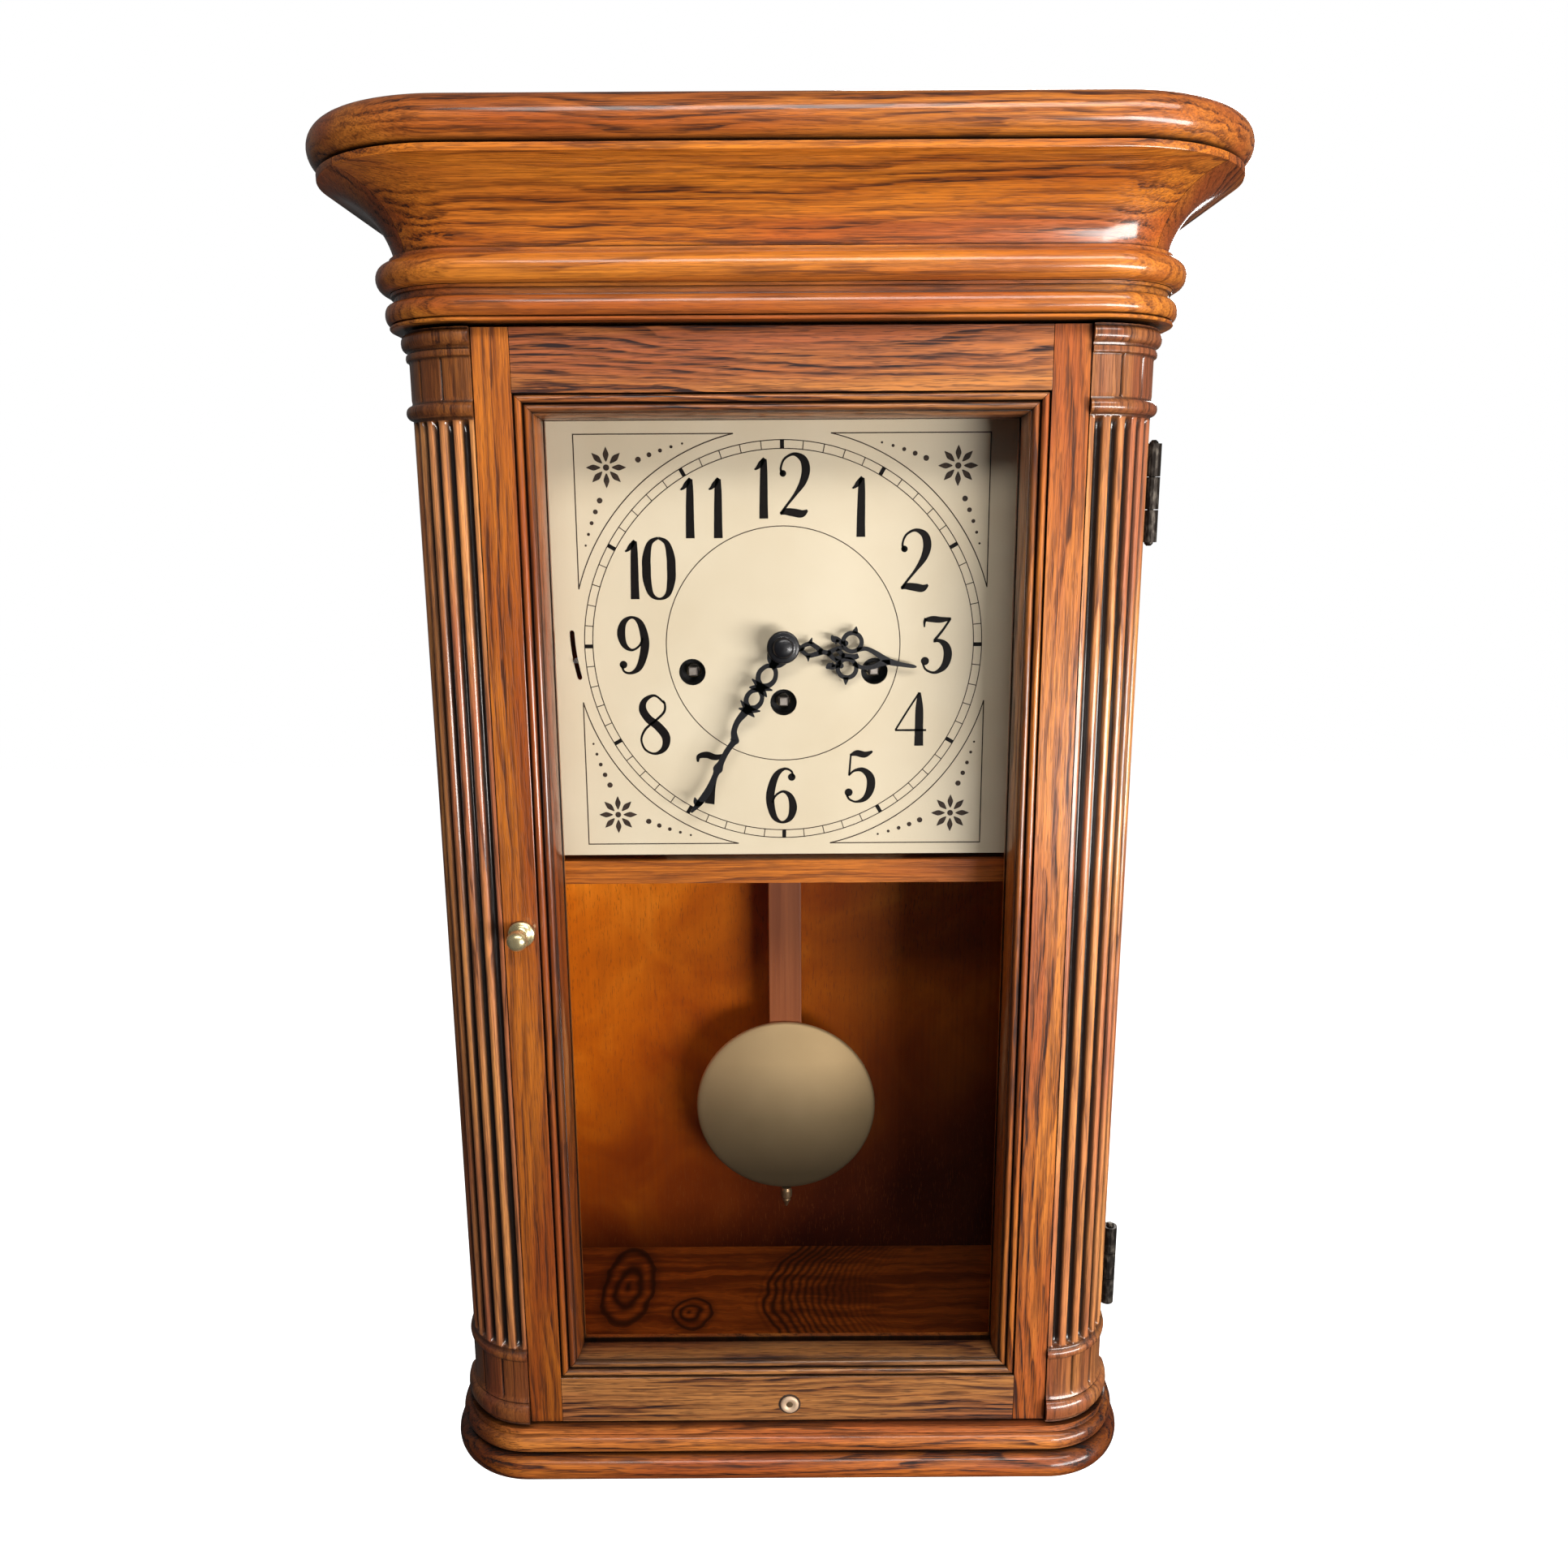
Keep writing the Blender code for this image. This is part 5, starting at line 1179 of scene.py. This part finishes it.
def hour_hand_strokes():
    """Strokes of the hour hand as rows of (along, across, width), from the hub out."""
    return [
        [(5.0, 0.3, 3.4), (8.2, 0.4, 2.4), (9.6, 1.9, 1.6), (12.2, 3.1, 1.7), (15.2, 2.0, 1.8),
         (18.0, 0.2, 2.2)],
        [(8.2, 0.4, 2.4), (9.6, -1.2, 1.6), (12.2, -2.4, 1.7), (15.2, -1.4, 1.8), (18.0, 0.2, 2.2)],
        [(12.0, 3.1, 2.2), (12.3, 4.6, 1.1), (12.5, 5.9, 0.3)],
        [(12.0, -2.4, 2.2), (12.3, -3.8, 1.1), (12.5, -5.2, 0.3)],
        [(16.6, 0.3, 2.4), (19.4, 0.2, 1.8), (22.0, 0.0, 2.2)],
        [(21.0, 0.2, 2.0), (24.2, 2.4, 1.6), (27.4, 3.8, 1.8)],
        [(21.0, 0.2, 2.0), (24.2, -2.2, 1.6), (27.4, -3.4, 1.8)],
        [(24.6, 2.4, 1.5), (27.8, 0.1, 1.8), (24.6, -2.2, 1.5)],
        [(27.2, 0.1, 1.8), (30.0, 0.1, 2.0), (33.0, 0.2, 2.2), (35.0, 1.2, 1.8)],
        [(33.8, 3.6, 1.8), (38.0, 4.8, 1.6), (42.6, 3.6, 1.9), (46.4, 1.8, 2.4), (50.4, 0.5, 2.4),
         (56.0, 0.2, 1.7), (60.6, 0.2, 1.4), (62.5, 0.2, 0.5)],
        [(33.4, -2.8, 1.8), (37.6, -4.0, 1.6), (42.4, -3.0, 1.8), (46.4, -0.6, 2.2), (50.0, 0.4, 2.0)],
        [(31.6, 11.0, 2.2), (31.8, 12.4, 1.8), (31.9, 14.2, 0.3)],
        [(31.0, -9.6, 2.2), (31.2, -11.2, 1.8), (31.4, -13.2, 0.3)],
        [(26.8, 5.4, 1.8), (24.6, 6.8, 1.9), (22.6, 7.0, 2.6), (21.2, 8.4, 0.5)],
        [(26.4, -4.6, 1.8), (24.6, -5.8, 1.9), (22.6, -5.8, 2.6), (21.2, -7.0, 0.5)],
        [(24.6, 7.0, 1.6), (23.6, 4.8, 0.4)],
        [(24.6, -5.8, 1.6), (23.6, -3.8, 0.4)],
    ]


def make_hands(mats):
    """Pierced black hands, and the domed nut that holds them."""
    black = mats["black_metal"]
    solid = bmesh.new()
    add_disc(solid, (0.0, CENTRE_Z), MINUTE_HUB_RADIUS, MINUTE_HAND_Y, 40)
    for rows in minute_hand_strokes():
        add_stroke(solid, oriented(MINUTE_HAND_DEG, bolder(rows, HAND_BOLDNESS)), MINUTE_HAND_Y)
    add_look("minute_hand", solid, black, "minute_hand_set")
    solid = bmesh.new()
    add_band(solid, (0.0, CENTRE_Z), HOUR_HUB_RADIUS, HOUR_HUB_WIDTH, HOUR_HAND_Y, segments=40)
    for rows in hour_hand_strokes():
        add_stroke(solid, oriented(HOUR_HAND_DEG, bolder(rows, HAND_BOLDNESS)), HOUR_HAND_Y)
    for along, across in HOUR_RINGS:
        rows = [(along, across, HOUR_RING_WIDTH), (along - 3.0, across * 0.86, 0.0)]
        ring, dot = oriented(HOUR_HAND_DEG, rows)
        add_band(solid, ring[:2], HOUR_RING_RADIUS, HOUR_RING_WIDTH, HOUR_HAND_Y, segments=28)
        add_disc(solid, dot[:2], 1.3, HOUR_HAND_Y, 16)
    add_look("hour_hand", solid, black, "hour_hand_set")
    nut = [(0.3, 24.6)]
    for i in range(1, 11):
        angle = math.pi / 2 * i / 10
        nut.append((4.7 * math.sin(angle), 26.4 - 1.8 * math.cos(angle)))
    nut += [(4.9, 27.4), (5.6, 27.7), (6.6, 27.6), (7.2, 27.9), (7.5, 28.4), (7.5, 29.3), (7.2, 29.7)]
    nut.append((0.3, 29.7))
    add_look("hand_nut", turned((0.0, CENTRE_Z), nut, 48), black, "minute_hand_set", 50.0)


# ---------------------------------------------------------------- pendulum

BOB_CENTRE = (0.0, 146.0)
BOB_FACE_RADIUS = 48.7
BOB_FACE_Y = 101.9
BOB_DOME = 6.4
STICK_Y = (105.5, 110.5)
NUT_AXIS_Y = 104.0
KNURL_TEETH = 24
KNURL_DEPTH = 0.22


def make_pendulum(mats):
    """The domed bob with its rolled rim, the stick and the knurled rating nut."""
    profile = [(0.5, 105.2), (48.6, 105.2), (49.4, 105.0), (49.9, 104.4), (50.0, 103.6), (49.8, 102.8),
               (49.3, 102.3), (BOB_FACE_RADIUS, BOB_FACE_Y)]
    for i in range(1, 25):
        radius = BOB_FACE_RADIUS * (1 - i / 24.2)
        profile.append((radius, BOB_FACE_Y - BOB_DOME * (1 - (radius / BOB_FACE_RADIUS) ** 2)))
    bob = turned(BOB_CENTRE, profile, 128)
    add_look("pendulum_bob", bob, mats["satin_bob"], "pendulum", 60.0)
    stick = box_mesh((-9.0, 9.0), STICK_Y, (104.0, 395.7))
    piece = add_look("pendulum_stick", stick, mats["stick_wood"], "pendulum")
    soften(piece, 0.8, 3)
    rings = []
    count = 2 * KNURL_TEETH
    for radius, z, knurl in ((0.4, 83.6, 0), (0.9, 84.4, 0), (1.3, 85.6, 0), (1.7, 86.6, 0), (2.3, 87.4, 0),
                             (2.5, 88.2, 0), (2.2, 88.8, 0), (2.4, 89.4, 0), (3.1, 90.0, 0), (3.25, 90.5, 1),
                             (3.25, 93.7, 1), (3.1, 94.2, 0), (2.7, 94.8, 0), (2.6, 95.6, 0)):
        ring = []
        for i in range(count):
            angle = TAU * i / count
            reach = radius - KNURL_DEPTH * knurl * (i % 2)
            ring.append((reach * math.cos(angle), NUT_AXIS_Y + reach * math.sin(angle), z))
        rings.append(ring)
    add_look("rating_nut", ring_solid(rings), mats["aged_brass"], "rating_nut", 40.0)


# ---------------------------------------------------------------- named materials and carried-over CAD nodes

# Oak boards: the grain's direction, place in the log, tint, ring spacing, contrast and gloss.
OAKS = {
    "crown": ("X", (250.0, 60.0, 0.0), (1.05, 1.0, 0.95), 4.2, 1.15, 0.8),
    "cove": ("X", (480.0, 30.0, 300.0), (1.2, 1.14, 0.8), 4.2, 1.15, 0.9),
    "cove_side": ("Y", (480.0, 130.0, 0.0), (0.85, 0.8, 0.8), 4.0, 1.1, 0.6),
    "bead": ("X", (520.0, 120.0, 90.0), (1.1, 1.1, 0.95), 4.5, 0.8, 0.9),
    "bead_upper": ("X", (480.0, 120.0, 500.0), (1.15, 1.15, 0.95), 4.5, 0.8, 0.9),
    # The base's tint, with the bottom rail's, is partly its own colour and partly painted shade towards the
    # bottom.
    "base": ("X", (190.0, 90.0, 800.0), (0.92, 0.84, 0.85), 4.0, 1.5, 0.5),
    "base_upper": ("X", (210.0, 90.0, 1100.0), (1.15, 1.25, 1.6), 4.0, 1.5, 0.5),
    "stile_left": ("Z", (250.0, 74.0, 0.0), (1.02, 0.92, 0.72), 4.6, 1.0, 0.9),
    "stile_right": ("Z", (-205.0, 90.0, 400.0), (1.08, 1.08, 1.2), 4.6, 1.25, 0.6),
    "rail_top": ("X", (640.0, 75.0, 1500.0), (0.95, 1.08, 1.9), 4.0, 1.5, 0.6),
    # Darker tint: partly the rail's own colour, partly painted shade towards the bottom.
    "rail_bottom": ("X", (215.0, 80.0, 1900.0), (0.68, 0.86, 1.8), 4.0, 1.6, 0.5),
    # The columns' strong blue tint paints a pinkish sheen on the reeds' ridges.
    "column_left": ("Z", (210.0, 90.0, 900.0), (1.55, 2.05, 4.6), 4.5, 0.9, 0.9),
    "column_right": ("Z", (-110.0, 90.0, 1300.0), (1.3, 1.7, 3.6), 4.5, 0.9, 0.8),
    "side": ("Z", (40.0, 160.0, 0.0), (0.95, 0.92, 0.9), 5.0, 1.0, 0.6),
    "seat": ("X", (400.0, 85.0, 600.0), (1.0, 0.9, 0.85), 4.5, 0.8, 0.5),
}

# Metals: colour, roughness, and where it differs how metallic, how tarnished and how coated.
METALS = {
    "black_metal": ((0.005, 0.005, 0.008), 0.35, 0.0, 0.2, 0.3),
    "polished_brass": ((0.95, 0.80, 0.45), 0.24, 0.85, 0.2),
    "aged_brass": ((0.30, 0.20, 0.11), 0.35, 0.8, 0.3),
    "pale_brass": ((0.70, 0.50, 0.34), 0.45, 0.3, 0.2),
    "satin_brass": ((0.62, 0.50, 0.30), 0.35),
    # A black standing in for the shade inside the winding holes.
    "painted_shade_black": ((0.004, 0.003, 0.003), 0.6, 0.0, 0.2),
    "dark_steel": ((0.5, 0.45, 0.4), 0.4, 0.8, 0.25),
    "steel": ((0.52, 0.52, 0.53), 0.28, 1.0, 0.25),
}


def make_materials():
    """Every material of the clock by a short name."""
    mats = {"oak_" + name: oak("scene_oak_" + name, *look) for name, look in OAKS.items()}
    for name, look in METALS.items():
        mats[name] = metal("scene_" + name, *look)
    mats.update({
        "birch_ply": birch_ply(),
        "floor_pine": knotty_pine(),
        "bare_wood": plain_wood("scene_bare_wood", (0.62, 0.43, 0.24), (0.42, 0.26, 0.12), "Z", 0.6),
        "stick_wood": plain_wood("scene_stick_wood", (0.40, 0.12, 0.038), (0.27, 0.07, 0.02), "Z", 0.38),
        "dial_ivory": dial_ivory(),
        "ink_black": ink("scene_ink_black", (0.004, 0.003, 0.003)),
        "ink_brown": ink("scene_ink_brown", (0.035, 0.025, 0.02)),
        "satin_bob": satin_bob(),
        "antique_hinge": antique_bronze(),
        "glass": clear_glass(),
    })
    return mats


CAD_LOOKS = {
    "oak_side": ("side_panel_left", "side_panel_right", "glass_retainer"),
    "oak_seat": ("seat_board",),
    "birch_ply": ("back_panel",),
    "floor_pine": ("bottom_board",),
    "bare_wood": ("dial_cleat_left", "dial_cleat_right", "movement_riser"),
    "dial_ivory": ("dial_plate",),
    "antique_hinge": ("hinge_door_leaf_upper", "hinge_door_leaf_lower",
                      "hinge_case_leaf_upper", "hinge_case_leaf_lower"),
    "steel": ("hanger_plate", "catch_magnet", "catch_strike", "chime_lever", "pallet_anchor",
              "chime_rod_block"),
    "dark_steel": ("time_winding_arbor", "chime_winding_arbor", "strike_winding_arbor"),
    "glass": ("glass_pane",),
}


def dress_cad_nodes(mats):
    """Give every CAD node that still shows its procedural material, and soften the edges of the seat board,
    side panels, bottom board and hinge leaves.
    """
    named = {}
    for look, names in CAD_LOOKS.items():
        for name in names:
            named[name] = look
    for name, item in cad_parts.items():
        if item.hide_render:
            continue
        look = named.get(name, "satin_brass")
        item.data.materials.clear()
        item.data.materials.append(mats[look])
    soften(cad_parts["seat_board"], 2.2, 4)
    for name in ("side_panel_left", "side_panel_right", "bottom_board"):
        soften(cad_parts[name], 0.8, 2)
    for name in CAD_LOOKS["antique_hinge"]:
        soften(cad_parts[name], 0.25, 2)


# ---------------------------------------------------------------- stage

def add_area_light(name, place, target, size, energy, colour=(1.0, 1.0, 1.0)):
    """A soft rectangular lamp at a place in metres, aimed at a target."""
    data = bpy.data.lights.new(name, "AREA")
    data.shape = "RECTANGLE"
    data.size, data.size_y = size
    data.energy = energy
    data.color = colour
    lamp = bpy.data.objects.new(name, data)
    lamp.location = place
    lamp.rotation_euler = (Vector(target) - Vector(place)).to_track_quat("-Z", "Y").to_euler()
    bpy.context.scene.collection.objects.link(lamp)


def make_world():
    """A pale room: white behind the clock, softer light on it from above than from below."""
    world = bpy.data.worlds.new("studio")
    bpy.context.scene.world = world
    world.use_nodes = True
    tree = world.node_tree
    tree.nodes.clear()
    direction = node(tree, "TexCoord").outputs["Generated"]
    height = node(tree, "SeparateXYZ", {0: direction}).outputs[2]
    level = maths(tree, "MULTIPLY_ADD", height, 0.5, 0.5)
    room = ramp(tree, level, [(0.0, 0.03), (0.45, 0.05), (0.55, 0.11), (1.0, 0.12)])
    soft = node(tree, "Background", {"Color": room, "Strength": 1.0}).outputs[0]
    white = node(tree, "Background", {"Color": (1.0, 1.0, 1.0, 1.0), "Strength": 1.0}).outputs[0]
    seen = node(tree, "LightPath").outputs["Is Camera Ray"]
    shown = node(tree, "MixShader", {0: seen, 1: soft, 2: white}).outputs[0]
    node(tree, "OutputWorld", {"Surface": shown})


def make_floor():
    """A plain pale floor well below the hanging clock."""
    solid = bmesh.new()
    corners = []
    for x, y in ((-1, -1), (1, -1), (1, 1), (-1, 1)):
        corners.append(solid.verts.new((x * FLOOR_HALF_SIZE, y * FLOOR_HALF_SIZE, FLOOR_Z)))
    solid.faces.new(corners)
    mesh = bpy.data.meshes.new("studio_floor")
    solid.to_mesh(mesh)
    solid.free()
    material, tree, shader = new_material("studio_floor", Roughness=0.9, Emission_Strength=1.0)
    place = grain_space(tree)
    tooth = noise(tree, place, 0.05, 2.0)
    wire(tree, shader, Base_Color=ramp(tree, tooth, [(0.3, 0.86), (0.7, 0.9)]))
    shader.inputs["Emission Color"].default_value = (1.0, 1.0, 1.0, 1.0)
    mesh.materials.append(material)
    floor = bpy.data.objects.new("studio_floor", mesh)
    bpy.context.scene.collection.objects.link(floor)
    floor.visible_diffuse = False
    floor.visible_glossy = False


CAMERA_PLACE = (0.0, -0.5822, 0.4685)
CAMERA_LENS = 28.17
LOOK_DOWN_DEG = 12.22
CAMERA_ROLL_DEG = -0.33
LAMP_TARGET = (0.0, 0.0, 0.33)
FLOOR_HALF_SIZE = 4.0
FLOOR_Z = -0.45


def make_camera():
    """The camera in front of the clock at eye height, looking down a little."""
    data = bpy.data.cameras.new("camera")
    data.sensor_width = 36.0
    data.lens = CAMERA_LENS
    camera = bpy.data.objects.new("camera", data)
    look_down = Matrix.Rotation(math.radians(90.0 - LOOK_DOWN_DEG), 4, "X")
    roll = Matrix.Rotation(math.radians(CAMERA_ROLL_DEG), 4, "Z")
    camera.matrix_world = Matrix.Translation(CAMERA_PLACE) @ look_down @ roll
    bpy.context.scene.collection.objects.link(camera)
    bpy.context.scene.camera = camera


def make_stage():
    """Camera, lamps, world and floor."""
    make_camera()
    make_world()
    make_floor()
    add_area_light("key_lamp", (0.80, -0.90, 0.14), LAMP_TARGET, (0.95, 0.28), 19.5, (1.0, 0.97, 0.94))
    add_area_light("top_lamp", (0.26, -0.80, 1.12), LAMP_TARGET, (1.3, 0.28), 9.0, (1.0, 0.97, 0.93))
    add_area_light("back_lamp", (0.45, 1.25, 1.05), LAMP_TARGET, (0.7, 0.7), 14.0)
    bpy.context.scene.view_settings.view_transform = "Standard"


def main():
    """Dress the clock."""
    mats = make_materials()
    make_base(mats)
    make_crown(mats)
    make_door_frame(mats)
    make_columns(mats)
    make_door_fittings(mats)
    make_numerals(mats)
    make_minute_track(mats)
    make_spandrels(mats)
    make_winding_shade_cups(mats)
    make_hands(mats)
    make_pendulum(mats)
    dress_cad_nodes(mats)
    make_stage()


main()
